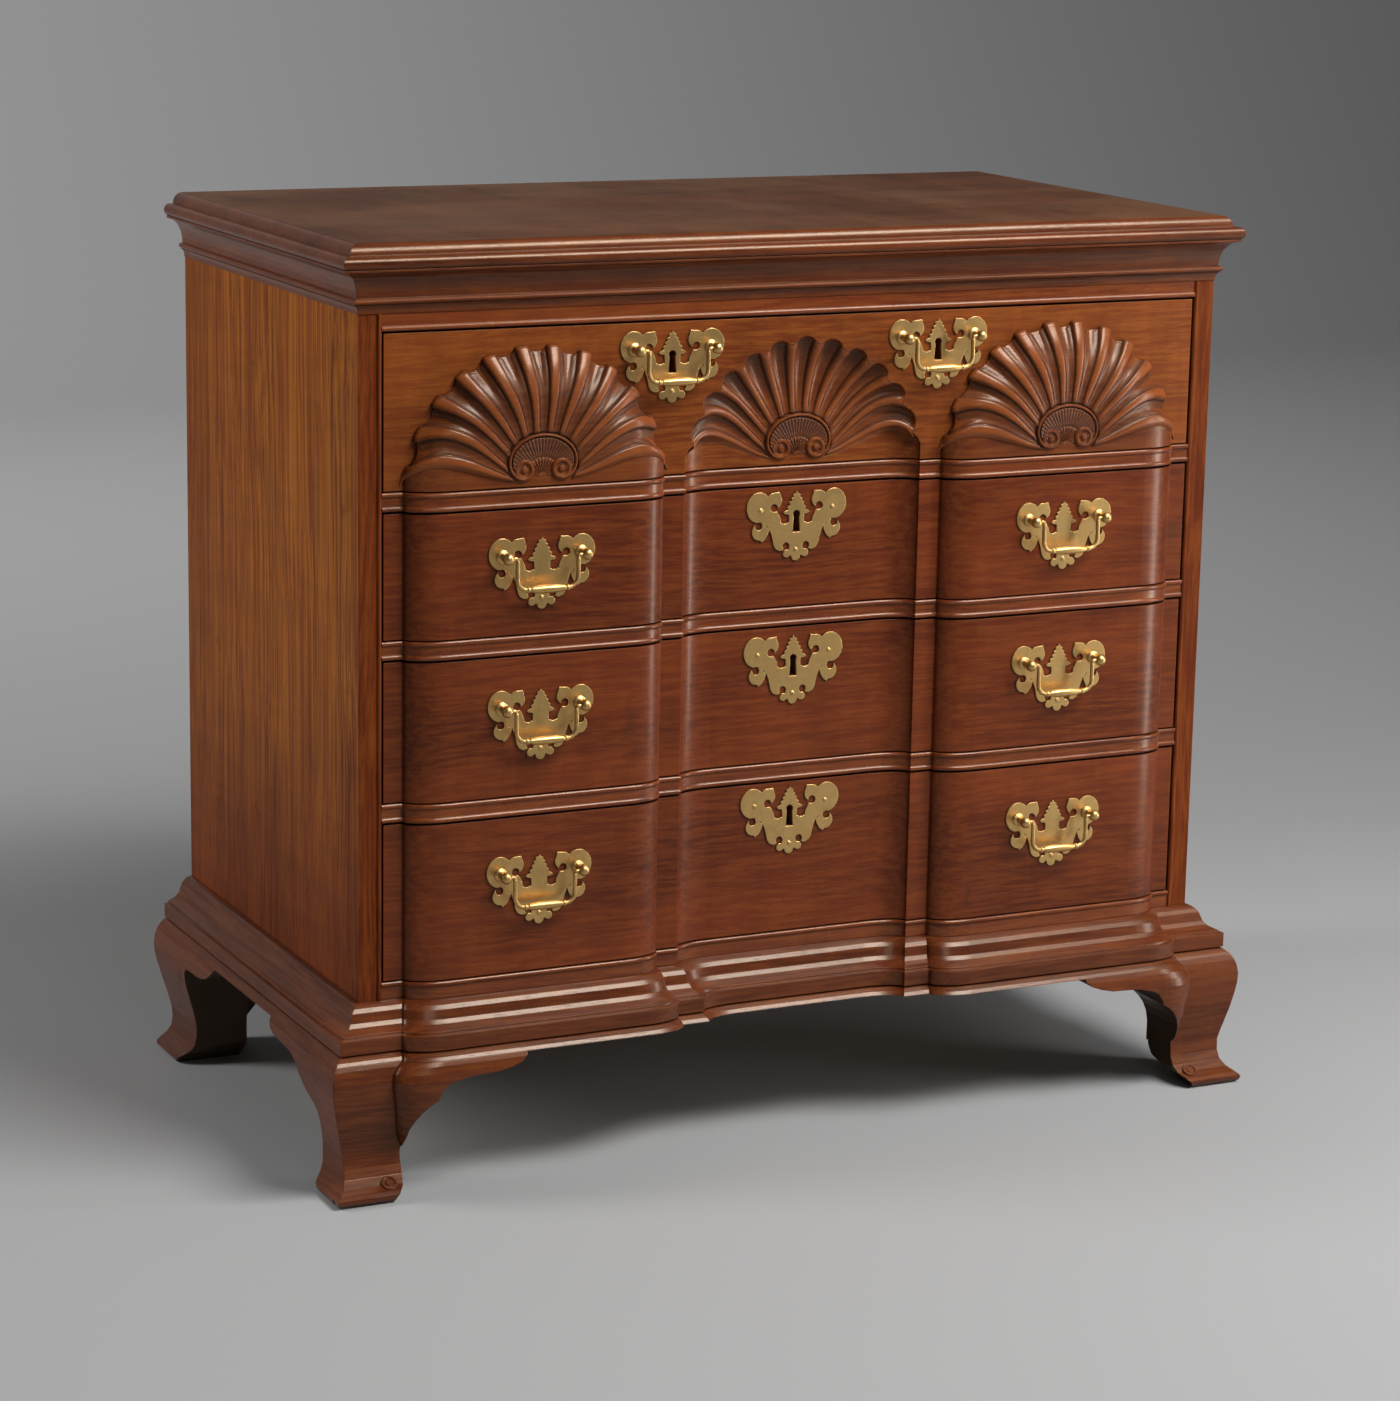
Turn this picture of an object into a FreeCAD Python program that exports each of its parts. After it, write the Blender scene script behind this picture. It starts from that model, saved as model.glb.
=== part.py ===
import FreeCAD, Part
import math
import os
import Sketcher

# Block front chest of four drawers on ogee bracket feet.
# +X is the chest's left-to-right across its front, +Y runs from the front to the back and +Z is up.
# The origin lies on the floor, under the centre of the whole chest.
# The functions below measure y from the front plane of the case (the faces of the side boards),
# and every sub-part is then placed at frontY.

doc = FreeCAD.newDocument("BlockFrontChest")
sheet = doc.addObject("Spreadsheet::Sheet", "Sheet")

dimensions = [
    ("caseWidth", 894, "case over its side boards"),
    ("caseDepth", 478, "front plane of the case to its back"),
    ("frontY", -209.9, "front plane of the case in the chest's own frame"),
    ("chestHeight", 876, "floor to the top surface"),
    ("sideFoot", 130, "underside of the case, where the feet begin"),
    ("topUnder", 853.5, "underside of the top board"),
    ("topOverhang", 21, "nosing of the top past the case"),
    ("corniceLow", 812.5, "lower edge of the moulding under the top"),
    ("mouldTop", 178.5, "upper edge of the base moulding"),
    ("bottomLow", 158.5, "underside of the case's bottom board"),
    ("backThick", 12, "back boards"),
    ("frontInset", 22, "back face of the base moulding's front"),
    ("blockOut", 17, "projection of the blocks"),
    ("recessIn", 14.5, "depth of the central recess"),
    ("blockOuter", 404.3, "outer edge of each block from the centre"),
    ("blockInner", 146.9, "inner edge of each block from the centre"),
    ("recessEdge", 124.2, "edge of the recess from the centre"),
    ("roundRun", 38, "width of the rounded side of a block"),
    ("beadWide", 4.6, "beads round the drawer openings"),
    ("beadOut", 1.7, "how far a bead stands proud"),
    ("railDepth", 80, "front to back of the rails between the drawers"),
    ("topRailDepth", 60, "front to back of the upper rail"),
    ("openLowA", 651.3, "drawer 1, lower edge of its opening"),
    ("openHighA", 796.5, "drawer 1, upper edge"),
    ("openLowB", 515, "drawer 2"),
    ("openHighB", 633.7, "drawer 2"),
    ("openLowC", 363.7, "drawer 3"),
    ("openHighC", 497.5, "drawer 3"),
    ("openLowD", 195, "drawer 4"),
    ("openHighD", 346, "drawer 4"),
    ("openHalf", 425, "half the width of the openings"),
    ("gapSide", 2, "drawer front to the case at each side"),
    ("gapLow", 1.3, "drawer front to the rail below"),
    ("gapHigh", 2, "drawer front to the rail above"),
    ("frontBack", 34, "back face of the drawer fronts"),
    ("drawerDepth", 445, "back end of the drawer sides"),
    ("drawerSide", 12, "drawer sides and backs"),
    ("drawerLower", 12, "how much lower the sides are than the front"),
    ("bottomThick", 8, "drawer bottoms"),
    ("bottomUp", 10, "drawer bottom above the lower edge of the sides"),
    ("pullCentre", 275.6, "pulls of the lower drawers from the centre"),
    ("pullCentreTop", 139.5, "pulls of the top drawer from the centre"),
    ("pullHeightA", 754, "middle of the plates of drawer 1"),
    ("pullHeightB", 573.3, "drawer 2"),
    ("pullHeightC", 432, "drawer 3"),
    ("pullHeightD", 275, "drawer 4"),
    ("keyHeightB", 594.4, "middle of the keyhole plate of drawer 2"),
    ("keyHeightC", 455, "drawer 3"),
    ("keyHeightD", 307, "drawer 4"),
    ("shellHeight", 670, "middle of the shells' scrolls"),
    ("shellLip", 1.5, "how far the tool that sinks the middle shell stands proud"),
    ("plateThick", 1.6, "brass plates"),
    ("tackHole", 1.5, "holes for the tacks that hold the plates"),
    ("postHalf", 39, "posts from the middle of a pull"),
    ("postUp", 16.5, "posts above the middle of the plate"),
    ("postReach", 13.9, "axis of the bail in front of the plate"),
    ("headRadius", 5.6, "ball heads of the posts"),
    ("pinRadius", 1.8, "ends of a bail"),
    ("pinHole", 2.2, "holes in the heads for them"),
    ("shankRadius", 2.5, "screwed shank of a post"),
    ("shankHole", 2.7, "hole for it"),
    ("gripRadius", 4.0, "thickest part of a bail"),
    ("bailDrop", 29.5, "middle of the grip under the axis"),
    ("lockWide", 60, "lock cases"),
    ("lockTall", 50, "lock cases"),
    ("lockThick", 10, "lock cases"),
    ("boltWide", 22, "lock bolts"),
    ("boltTall", 24, "lock bolts"),
    ("boltThick", 5, "lock bolts"),
    ("boltThrow", 8, "travel of a bolt"),
]
for row, (alias, amount, note) in enumerate(dimensions, 1):
    sheet.set("A%d" % row, note)
    sheet.set("B%d" % row, str(amount))
    sheet.setAlias("B%d" % row, alias)
doc.recompute()

drawers = {1: "A", 2: "B", 3: "C", 4: "D"}
parts = {}


def size(alias):
    return float(sheet.get(alias))


def value(expression):
    return float(sheet.evalExpression(expression))


def vec(x, y, z=0.0):
    return FreeCAD.Vector(x, y, z)


def keep(obj, label):
    obj.Label = label
    obj.setExpression("Placement.Base.y", "Sheet.frontY")
    parts[label] = obj
    return obj


def feature(label, shape):
    # a sub-part whose shape is worked out here from the sheet's sizes
    obj = doc.addObject("Part::Feature", label)
    obj.Shape = Part.makeCompound(shape if isinstance(shape, list) else [shape])
    return keep(obj, label)


def board(name, low, high):
    # a box between two corners, each given as three expressions on the sheet
    obj = doc.addObject("Part::Box", name)
    for side, a, b in zip(("Length", "Width", "Height"), low, high):
        obj.setExpression(side, "(%s) - (%s)" % (b, a))
    for axis, a in zip("xyz", low):
        obj.setExpression("Placement.Base." + axis, a)
    return obj


def gather(label, members):
    # several separate solids that share one node
    obj = doc.addObject("Part::Compound", label)
    obj.Links = members
    return keep(obj, label)


def plane(body, role):
    return next(f for f in body.Origin.OriginFeatures if f.Role == role)


def sketchOn(body, role, name):
    sketch = body.newObject("Sketcher::SketchObject", name)
    sketch.AttachmentSupport = (plane(body, role), [""])
    sketch.MapMode = "FlatFace"
    return sketch


def polygon(sketch, corners):
    # a closed outline of straight lines; each corner is a pair of expressions
    first = sketch.GeometryCount
    where = [vec(value(x), value(y)) for x, y in corners]
    for i, start in enumerate(where):
        sketch.addGeometry(Part.LineSegment(start, where[(i + 1) % len(where)]), False)
    for i in range(len(where)):
        after = first + (i + 1) % len(where)
        sketch.addConstraint(Sketcher.Constraint("Coincident", first + i, 2, after, 1))
    for i, (x, y) in enumerate(corners):
        for kind, text in (("DistanceX", x), ("DistanceY", y)):
            amount = value(text)
            c = sketch.addConstraint(Sketcher.Constraint(kind, -1, 1, first + i, 1, amount))
            sketch.setExpression("Constraints[%d]" % c, text)


def arc(start, through, end):
    # an arc through three points, stored anticlockwise as sketches keep them
    turn = (through - start).cross(end - through).z
    return Part.Arc(start, through, end) if turn > 0 else Part.Arc(end, through, start)


def pad(body, sketch, length, name, reverse=False, midplane=False):
    obj = body.newObject("PartDesign::Pad", name)
    obj.Profile = sketch
    obj.setExpression("Length", length)
    obj.Reversed = reverse
    obj.Midplane = midplane
    return obj


def cutOut(body, sketch, length, name, reverse=False, midplane=False):
    # a pocket that must take wood away
    doc.recompute()
    before = body.Shape.Volume
    obj = body.newObject("PartDesign::Pocket", name)
    obj.Profile = sketch
    obj.setExpression("Length", length)
    obj.Reversed = reverse
    obj.Midplane = midplane
    doc.recompute()
    if not before - body.Shape.Volume > 1:
        raise RuntimeError(name + " cuts nothing")
    return obj


# ---------- the block front's plan ----------

def contour(out, half, taper=1.0):
    # The front seen from above, from -half to half, a distance "out" in front of the case.
    # Each block has sides that leave the flats squarely and round over into its face; the
    # recess is the same shape turned in. Lower mouldings stand further out, and there the
    # blocks grow a little wider and the recess narrower.
    o = size("blockOuter") + 0.40 * out * taper
    i = size("blockInner") - 0.39 * out * taper
    r = size("recessEdge") - 0.54 * out * taper
    run, up, deep = size("roundRun"), size("blockOut"), size("recessIn")
    y = -out

    def line(x0, y0, x1, y1):
        return Part.LineSegment(vec(x0, y0), vec(x1, y1))

    def quarter(cx, height, a0, a1):
        big, small = max(run, height), min(run, height)
        return Part.ArcOfEllipse(Part.Ellipse(vec(cx, y), big, small), a0, a1)

    q = math.pi / 2
    return [
        line(-half, y, -o, y),
        quarter(-o + run, up, 2 * q, 3 * q),
        line(-o + run, y - up, -i - run, y - up),
        quarter(-i - run, up, 3 * q, 4 * q),
        line(-i, y, -r, y),
        quarter(-r + run, deep, q, 2 * q),
        line(-r + run, y + deep, r - run, y + deep),
        quarter(r - run, deep, 0, q),
        line(r, y, i, y),
        quarter(i + run, up, 2 * q, 3 * q),
        line(i + run, y - up, o - run, y - up),
        quarter(o - run, up, 3 * q, 4 * q),
        line(o, y, half, y),
    ]


def contourFace(out, half, back, z):
    # the plan from the contour to a straight back, at height z
    edges = [c.toShape() for c in contour(out, half)]
    corners = [vec(half, -out), vec(half, back), vec(-half, back), vec(-half, -out)]
    edges += [Part.makeLine(a, b) for a, b in zip(corners, corners[1:])]
    wire = Part.Wire(Part.__sortEdges__(edges))
    wire.translate(vec(0, 0, z))
    return wire


def contourStack(levels, half, back):
    # a rail or moulding with the block front's plan; levels are (height, distance out)
    return Part.makeLoft([contourFace(out, half, back, z) for z, out in levels], True, True)


def prism(corners, z0, z1):
    wire = Part.makePolygon([vec(x, y, z0) for x, y in corners + corners[:1]])
    return Part.Face(wire).extrude(vec(0, 0, z1 - z0))


def profileFace(points, axis):
    # a section given by (distance out, height), facing along the axis it will be run along
    if axis == "x":
        where = [vec(0, -out, z) for out, z in points]
    else:
        where = [vec(out, 0, z) for out, z in points]
    return Part.Face(Part.makePolygon(where + where[:1]))


def arcPoints(centre, radii, start, stop, count):
    # points along an elliptic arc, angles in degrees
    (cx, cy), (rx, ry) = centre, radii
    for k in range(count + 1):
        a = math.radians(start + (stop - start) * k / count)
        yield (cx + rx * math.cos(a), cy + ry * math.sin(a))


# ---------- case ----------

def makeTop():
    # One wide board. Its edge is a thumbnail over a nosing, run along the sides and the front.
    body = doc.addObject("PartDesign::Body", "TopBoard")
    sketch = sketchOn(body, "XZ_Plane", "TopSection")
    half = value("caseWidth / 2 + topOverhang")
    low, high = size("topUnder"), size("chestHeight")

    def edge(sign):
        return [
            Part.LineSegment(vec(sign * (half - 5), low), vec(sign * (half - 3.6), low)),
            arc(vec(sign * (half - 3.6), low), vec(sign * half, low + 4.2),
                     vec(sign * (half - 7.6), low + 11.6)),
            Part.LineSegment(vec(sign * (half - 7.6), low + 11.6),
                             vec(sign * (half - 9.2), low + 12.2)),
            arc(vec(sign * (half - 9.2), low + 12.2), vec(sign * (half - 12), high - 3),
                     vec(sign * (half - 18.6), high)),
        ]

    right, left = edge(1), edge(-1)
    pieces = right + [Part.LineSegment(vec(half - 18.6, high), vec(-half + 18.6, high))]
    pieces += left[::-1] + [Part.LineSegment(vec(-half + 5, low), vec(half - 5, low))]
    for piece in pieces:
        sketch.addGeometry(piece, False)
    joinLoose(sketch)
    sketch.setExpression("AttachmentOffset.Base.z", "Sheet.topOverhang")
    pad(body, sketch, "Sheet.caseDepth + Sheet.topOverhang", "TopPad", reverse=True)

    rout = sketchOn(body, "YZ_Plane", "FrontEdge")
    front = -size("topOverhang")
    outline = [
        Part.LineSegment(vec(front - 5, low - 5), vec(front + 3.6, low - 5)),
        Part.LineSegment(vec(front + 3.6, low - 5), vec(front + 3.6, low)),
        arc(vec(front + 3.6, low), vec(front, low + 4.2), vec(front + 7.6, low + 11.6)),
        Part.LineSegment(vec(front + 7.6, low + 11.6), vec(front + 9.2, low + 12.2)),
        arc(vec(front + 9.2, low + 12.2), vec(front + 12, high - 3),
                 vec(front + 18.6, high)),
        Part.LineSegment(vec(front + 18.6, high), vec(front + 18.6, high + 5)),
        Part.LineSegment(vec(front + 18.6, high + 5), vec(front - 5, high + 5)),
        Part.LineSegment(vec(front - 5, high + 5), vec(front - 5, low - 5)),
    ]
    for piece in outline:
        rout.addGeometry(piece, False)
    joinLoose(rout)
    cutOut(body, rout, "Sheet.caseWidth + 100", "FrontThumbnail", midplane=True)
    return keep(body, "top_board")


def joinLoose(sketch):
    # ties together the ends of edges that already meet
    found = []
    for i in range(sketch.GeometryCount):
        shape = sketch.Geometry[i]
        for which, point in ((1, shape.StartPoint), (2, shape.EndPoint)):
            for j, other, place in found:
                if i != j and (place - point).Length < 1e-6:
                    sketch.addConstraint(Sketcher.Constraint("Coincident", j, other, i, which))
            found.append((i, which, point))


def makeCase():
    half = "Sheet.caseWidth / 2"
    for label, sign in (("side_left", -1), ("side_right", 1)):
        # a full-depth board, with a bead up its inner front arris between the two mouldings
        body = doc.addObject("PartDesign::Body", label.replace("_", ""))
        sketch = sketchOn(body, "XY_Plane", label + "_plan")
        outer, inner = "%d * Sheet.caseWidth / 2" % sign, "%d * Sheet.openHalf" % sign
        polygon(sketch, [(outer, "0"), (inner, "0"), (inner, "Sheet.caseDepth"),
                         (outer, "Sheet.caseDepth")])
        pad(body, sketch, "Sheet.topUnder - Sheet.sideFoot", label + "_pad")
        doc.recompute()
        edge, wide, out = sign * size("openHalf"), size("beadWide"), size("beadOut")
        bead = sketchOn(body, "XY_Plane", label + "_bead")
        bead.addGeometry(arc(vec(edge + sign * wide, 0), vec(edge + sign * wide / 2, -out),
                             vec(edge, 0)), False)
        bead.addGeometry(Part.LineSegment(vec(edge + sign * wide, 0), vec(edge, 0)), False)
        joinLoose(bead)
        bead.setExpression("AttachmentOffset.Base.z", "Sheet.mouldTop - Sheet.sideFoot")
        pad(body, bead, "Sheet.corniceLow - Sheet.mouldTop", label + "_run")
        keep(body, label)
        body.setExpression("Placement.Base.z", "Sheet.sideFoot")

    keep(board("CaseBottom", ("-Sheet.openHalf", "Sheet.frontInset", "Sheet.bottomLow"),
               ("Sheet.openHalf", "Sheet.caseDepth - Sheet.backThick", "Sheet.mouldTop")),
         "case_bottom").setExpression("Placement.Base.y", "Sheet.frontY + Sheet.frontInset")

    battens = [board("Batten%d" % n, ("-Sheet.openHalf", str(y), "Sheet.topUnder - 20"),
                     ("Sheet.openHalf", str(y + 60), "Sheet.topUnder"))
               for n, y in enumerate((215, 400))]
    gather("top_battens", battens)

    backs = []
    heights = ["Sheet.bottomLow", "Sheet.bottomLow + 235", "Sheet.bottomLow + 468",
               "Sheet.topUnder"]
    for n in range(3):
        backs.append(board("Back%d" % n,
                           ("-Sheet.openHalf", "Sheet.caseDepth - Sheet.backThick",
                            heights[n] + (" + 1" if n else "")),
                           ("Sheet.openHalf", "Sheet.caseDepth", heights[n + 1])))
    gather("back_boards", backs)

    runners = []
    levels = [("Sheet.mouldTop", "Sheet.openLowD", "Sheet.topRailDepth")]
    for low, high in ("DC", "CB", "BA"):
        levels.append(("Sheet.openHigh" + low, "Sheet.openLow" + high, "Sheet.railDepth"))
    levels.append(("Sheet.openHighA", "Sheet.openHighA + 18", "Sheet.topRailDepth"))
    for n, (low, high, start) in enumerate(levels):
        for side in (-1, 1):
            inner = "Sheet.openHalf - 26"
            x0, x1 = (inner, "Sheet.openHalf") if side > 0 else ("-Sheet.openHalf",
                                                                 "-(%s)" % inner)
            runners.append(board("Runner%d%s" % (n, "R" if side > 0 else "L"),
                                 (x0, start, low),
                                 (x1, "Sheet.caseDepth - Sheet.backThick - 4", high)))
    gather("drawer_runners", runners)


def makeTopRail():
    # a flat rail over drawer 1 with a fascia on its front edge, beaded along the opening
    low, high, out = size("openHighA"), size("topUnder"), size("beadOut")
    wide, half = size("beadWide"), size("openHalf")
    bead = list(arcPoints((0, low + wide / 2), (out, wide / 2), -90, 90, 6))
    section = bead + [(0, high), (-22, high), (-22, low + 18),
                      (-size("topRailDepth"), low + 18), (-size("topRailDepth"), low)]
    run = profileFace(section, "x").extrude(vec(2 * half, 0, 0))
    run.translate(vec(-half, 0, 0))
    for x in (-size("pullCentreTop"), size("pullCentreTop")):
        run = run.cut(boltMortise(x, low))
    feature("top_rail", run)


def boltMortise(x, low):
    # slot in the underside of a rail, over a lock bolt
    wide, thick, deep = size("boltWide") + 3, size("boltThick") + 2, size("boltThrow") + 2
    return Part.makeBox(wide, thick, deep, vec(x - wide / 2, boltFront() - 1, low))


def boltFront():
    return size("frontBack") - size("lockThick") + 2.5


def beadLevels(low):
    # a half-round bead as (height, distance out), upwards from its lower edge
    wide, out = size("beadWide"), size("beadOut")
    turns = [math.pi * k / 6 for k in range(7)]
    return [(low + wide / 2 * (1 - math.cos(a)), out * math.sin(a)) for a in turns]


def makeRails():
    # rails between the drawers follow the block front, with a bead along each edge
    wide, half = size("beadWide"), size("openHalf")
    for n, (low, high) in enumerate((("openHighB", "openLowA"), ("openHighC", "openLowB"),
                                     ("openHighD", "openLowC")), 1):
        z0, z1 = size(low), size(high)
        rail = contourStack(beadLevels(z0) + beadLevels(z1 - wide), half, size("railDepth"))
        feature("divider_%d" % n, rail.cut(boltMortise(0, z0)))
    z0, z1 = size("mouldTop"), size("openLowD")
    levels = [(z0, 0.0)] + beadLevels(z1 - wide)
    feature("bottom_rail", contourStack(levels, half, size("topRailDepth")))


# ---------- mouldings and feet ----------

def mitreRegion(where, reach=80):
    # plan of the wood that belongs to the front run or to a side run
    half, depth = value("caseWidth / 2"), size("caseDepth")
    if where == "front":
        return [(-half, 0), (-half - reach, -reach), (half + reach, -reach), (half, 0)]
    corners = [(half, 0), (half + reach, -reach), (half + reach, depth), (half, depth)]
    return corners if where == "right" else [(-x, y) for x, y in corners[::-1]]


def sideRun(points, where, z0, z1):
    # a moulding along one side of the case, mitred at the front
    reach = 80
    run = profileFace(points, "y").extrude(vec(0, size("caseDepth") + reach, 0))
    run.translate(vec(value("caseWidth / 2"), -reach, 0))
    if where == "left":
        run = run.mirror(vec(0, 0, 0), vec(1, 0, 0))
    return run.common(prism(mitreRegion(where, reach), z0 - 1, z1 + 1))


def makeCornice():
    # fillet, large cove, bead and small cove under the top, mitred at the front corners
    top, low = size("topUnder"), size("corniceLow")
    section = [(0, top), (18.5, top), (18.5, top - 2)]
    section += list(arcPoints((17.6, top - 26.5), (15, 24), 90, 180, 7))
    section += [(2.6, top - 27)]
    section += list(arcPoints((3.4, top - 29.8), (3.0, 2.6), 90, -90, 5))
    section += list(arcPoints((4.4, low + 1.2), (3.6, 6.6), 90, 180, 4))
    section += [(0.8, low), (0, low)]
    half = value("caseWidth / 2")
    front = profileFace(section, "x").extrude(vec(2 * half + 200, 0, 0))
    front.translate(vec(-half - 100, 0, 0))
    front = front.common(prism(mitreRegion("front"), low - 1, top + 1))
    sides = [sideRun(section, where, low, top) for where in ("left", "right")]
    feature("cornice_moulding", [front] + sides)


def baseLevels():
    # (height, distance out) of the base moulding, from its band up to the case
    top = size("mouldTop")
    return [(138.4, 29.3), (152.4, 29.3), (152.8, 25.4), (154.8, 25.0), (155.6, 22.6),
            (156.6, 20.4), (159.4, 16.2), (163.0, 13.4), (166.6, 12.2), (171.4, 10.6),
            (175.0, 7.8), (177.4, 4.6), (top, 1.2)]


def skirtLevels():
    # the strip under the band: the top of the feet's swelling, carried right round
    return [(130.0, 35.7), (133.2, 33.0), (136.2, 29.2), (138.4, 25.0)]


def makeBase():
    # the front run follows the block front, the side runs are straight
    half, inset = value("caseWidth / 2"), size("frontInset")
    low, top = size("sideFoot"), size("mouldTop")
    region = [(-size("openHalf"), inset), (-size("openHalf"), 0)] + mitreRegion("front")
    region += [(size("openHalf"), 0), (size("openHalf"), inset)]
    runs = []
    for levels in (baseLevels(), skirtLevels()):
        stack = contourStack(levels, half + 60, inset + 10)
        runs.append(stack.common(prism(region, low - 1, top + 1)))
    front = runs[0].fuse(runs[1])
    section = [(0, low)] + [(out, z) for z, out in skirtLevels()]
    section += [(out, z) for z, out in baseLevels()] + [(0, top)]
    sides = [sideRun(section, where, low, top) for where in ("left", "right")]
    feature("base_moulding", [front] + sides)


# Ogees of the feet, (height, distance out): a swelling knee over a thin ankle, and a toe that
# flares to a lip and rolls under to the floor. The front brackets flare most; their third
# number is where the block's swelling ends, from the middle of the chest.
sideOgee = [(0, 36.5), (2, 39.5), (5, 41.0), (8, 40.6), (11.5, 36.5), (16, 30.8), (22, 27.4),
            (30, 26.6), (41, 27.4), (50, 29.4), (60, 31.8), (76, 35.6), (92, 38.9), (102, 40.6),
            (112, 41.2), (120, 40.0), (126, 38.0), (130, 35.7)]
frontOgee = [(0, 49, 410), (2, 52, 410), (5.5, 54.5, 410), (8.5, 54.5, 410), (11, 51, 410),
             (15, 43, 410.5), (21, 35.5, 411), (30, 31, 412.5), (41, 29.5, 415.5), (50, 31, 420),
             (60, 33.5, 423.5), (76, 37.2, 425.6), (92, 39.8, 427.6), (102, 40.9, 429.3),
             (112, 41.2, 430), (120, 40.0, 428.4), (126, 38.0, 424), (130, 35.7, 418.6)]
rearOgee = [(0, 35), (2, 38), (5, 39.6), (8, 39), (11.5, 34.2), (16, 27.8), (22, 23.6),
            (30, 22.2), (41, 22.8), (50, 25), (60, 28), (76, 33.2), (92, 38), (102, 40.4),
            (112, 41.2), (120, 40.0), (126, 38.0), (130, 35.7)]


def bracketOutline(points, axis, reach):
    # the sawn outline of a bracket, given as (distance along it, height), run through its board
    if axis == "y":
        where = [vec(along, -reach, z) for along, z in points]
    else:
        where = [vec(-reach, along, z) for along, z in points]
    face = Part.Face(Part.makePolygon(where + where[:1]))
    return face.extrude(vec(0, 2 * reach, 0) if axis == "y" else vec(2 * reach, 0, 0))


def sideWing(section, thick, start, stop):
    # a length of ogee bracket along the right side of the case
    half = value("caseWidth / 2")
    wing = profileFace([(-thick, 0)] + [(out, z) for z, out in section] + [(-thick, 130)], "y")
    wing = wing.extrude(vec(0, stop - start, 0))
    wing.translate(vec(half, start, 0))
    return wing


def footScroll():
    # the small carved scroll at the inner end of a front foot's toe, a coin with a sunk ring
    scroll = Part.makeCylinder(7.6, 8, vec(0, 0, -6)).cut(
        Part.makeCylinder(5.6, 1, vec(0, 0, 1.2)).cut(Part.makeCylinder(3.2, 1, vec(0, 0, 1.2))))
    scroll.rotate(vec(0, 0, 0), vec(1, 0, 0), 33)
    scroll.translate(vec(434, -42.4, 15.5))
    return scroll


def makeFrontFoot(label, sign):
    # Two brackets mitred at the corner, with a glue block behind them. The front bracket
    # carries the block's swelling out over its wing; the side bracket is plain.
    half, run, back = value("caseWidth / 2"), size("roundRun"), 14.0
    wires = []
    for z, out, inner in frontOgee:
        edges = [
            Part.makeLine(vec(half + 60, -out, z), vec(inner, -out, z)),
            Part.ArcOfEllipse(Part.Ellipse(vec(inner - run, -out, z), run, size("blockOut")),
                              1.5 * math.pi, 2 * math.pi).toShape(),
            Part.makeLine(vec(inner - run, -out - size("blockOut"), z),
                          vec(280, -out - size("blockOut"), z)),
            Part.makeLine(vec(280, -out - size("blockOut"), z), vec(280, back, z)),
            Part.makeLine(vec(280, back, z), vec(half + 60, back, z)),
            Part.makeLine(vec(half + 60, back, z), vec(half + 60, -out, z)),
        ]
        wires.append(Part.Wire(Part.__sortEdges__(edges)))
    face = Part.makeLoft(wires, True, True)
    face = face.common(prism([(280, back), (280, -90), (half + 90, -90), (half, 0),
                              (half - 18, back)], -1, 131))
    face = face.common(sideWing(sideOgee, 200, -90, 60))
    outline = [(500, -1), (432, -1), (430, 6), (426, 10), (421, 14), (418.5, 20), (418, 28),
               (418.5, 38), (417.5, 52), (415, 66), (411, 75), (405, 83), (398, 89.5),
               (390.5, 94), (388.6, 99), (384, 106), (377, 110), (366, 113), (352, 114.6),
               (330, 115.4), (318, 118), (307, 121.8), (301, 127), (300, 131), (500, 131)]
    front = face.common(bracketOutline(outline, "y", 120))
    under = [(-100, -1), (-50, -1), (-47, 4.5), (-36, 9), (-19, 13.5), (-6, 16.5), (6, 22),
             (12, 31), (14.5, 42), (14.5, 131), (-100, 131)]
    front = front.common(bracketOutline(under, "x", 600)).fuse(footScroll())

    wing = sideWing(sideOgee, 18, -90, 210)
    wing = wing.common(prism([(half - 18, back), (half, 0), (half + 90, -90),
                              (half + 90, 200), (half - 18, 200)], -1, 131))
    outline = [(-100, -1), (0, -1), (1.5, 4), (5, 7.5), (11, 11), (18.5, 16), (23.5, 24),
               (24.5, 32), (22.5, 41), (17.5, 53), (14.8, 64), (15.2, 73), (20, 79.5),
               (28, 83), (36, 87), (44, 93), (51, 100.5), (57.5, 108), (65, 112.8),
               (76, 115.4), (92, 116.4), (106, 116.8), (122, 118.4), (132.5, 121.8),
               (138, 126.6), (141, 131), (-100, 131)]
    plain = wing.common(bracketOutline(outline, "x", 600))

    block = prism([(half - 18, back), (half - 18, back + 18), (half - 30, back)], 34, 130)
    pieces = [front, plain, block]
    if sign < 0:
        pieces = [p.mirror(vec(0, 0, 0), vec(1, 0, 0)) for p in pieces]
    feature(label, pieces)


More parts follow.
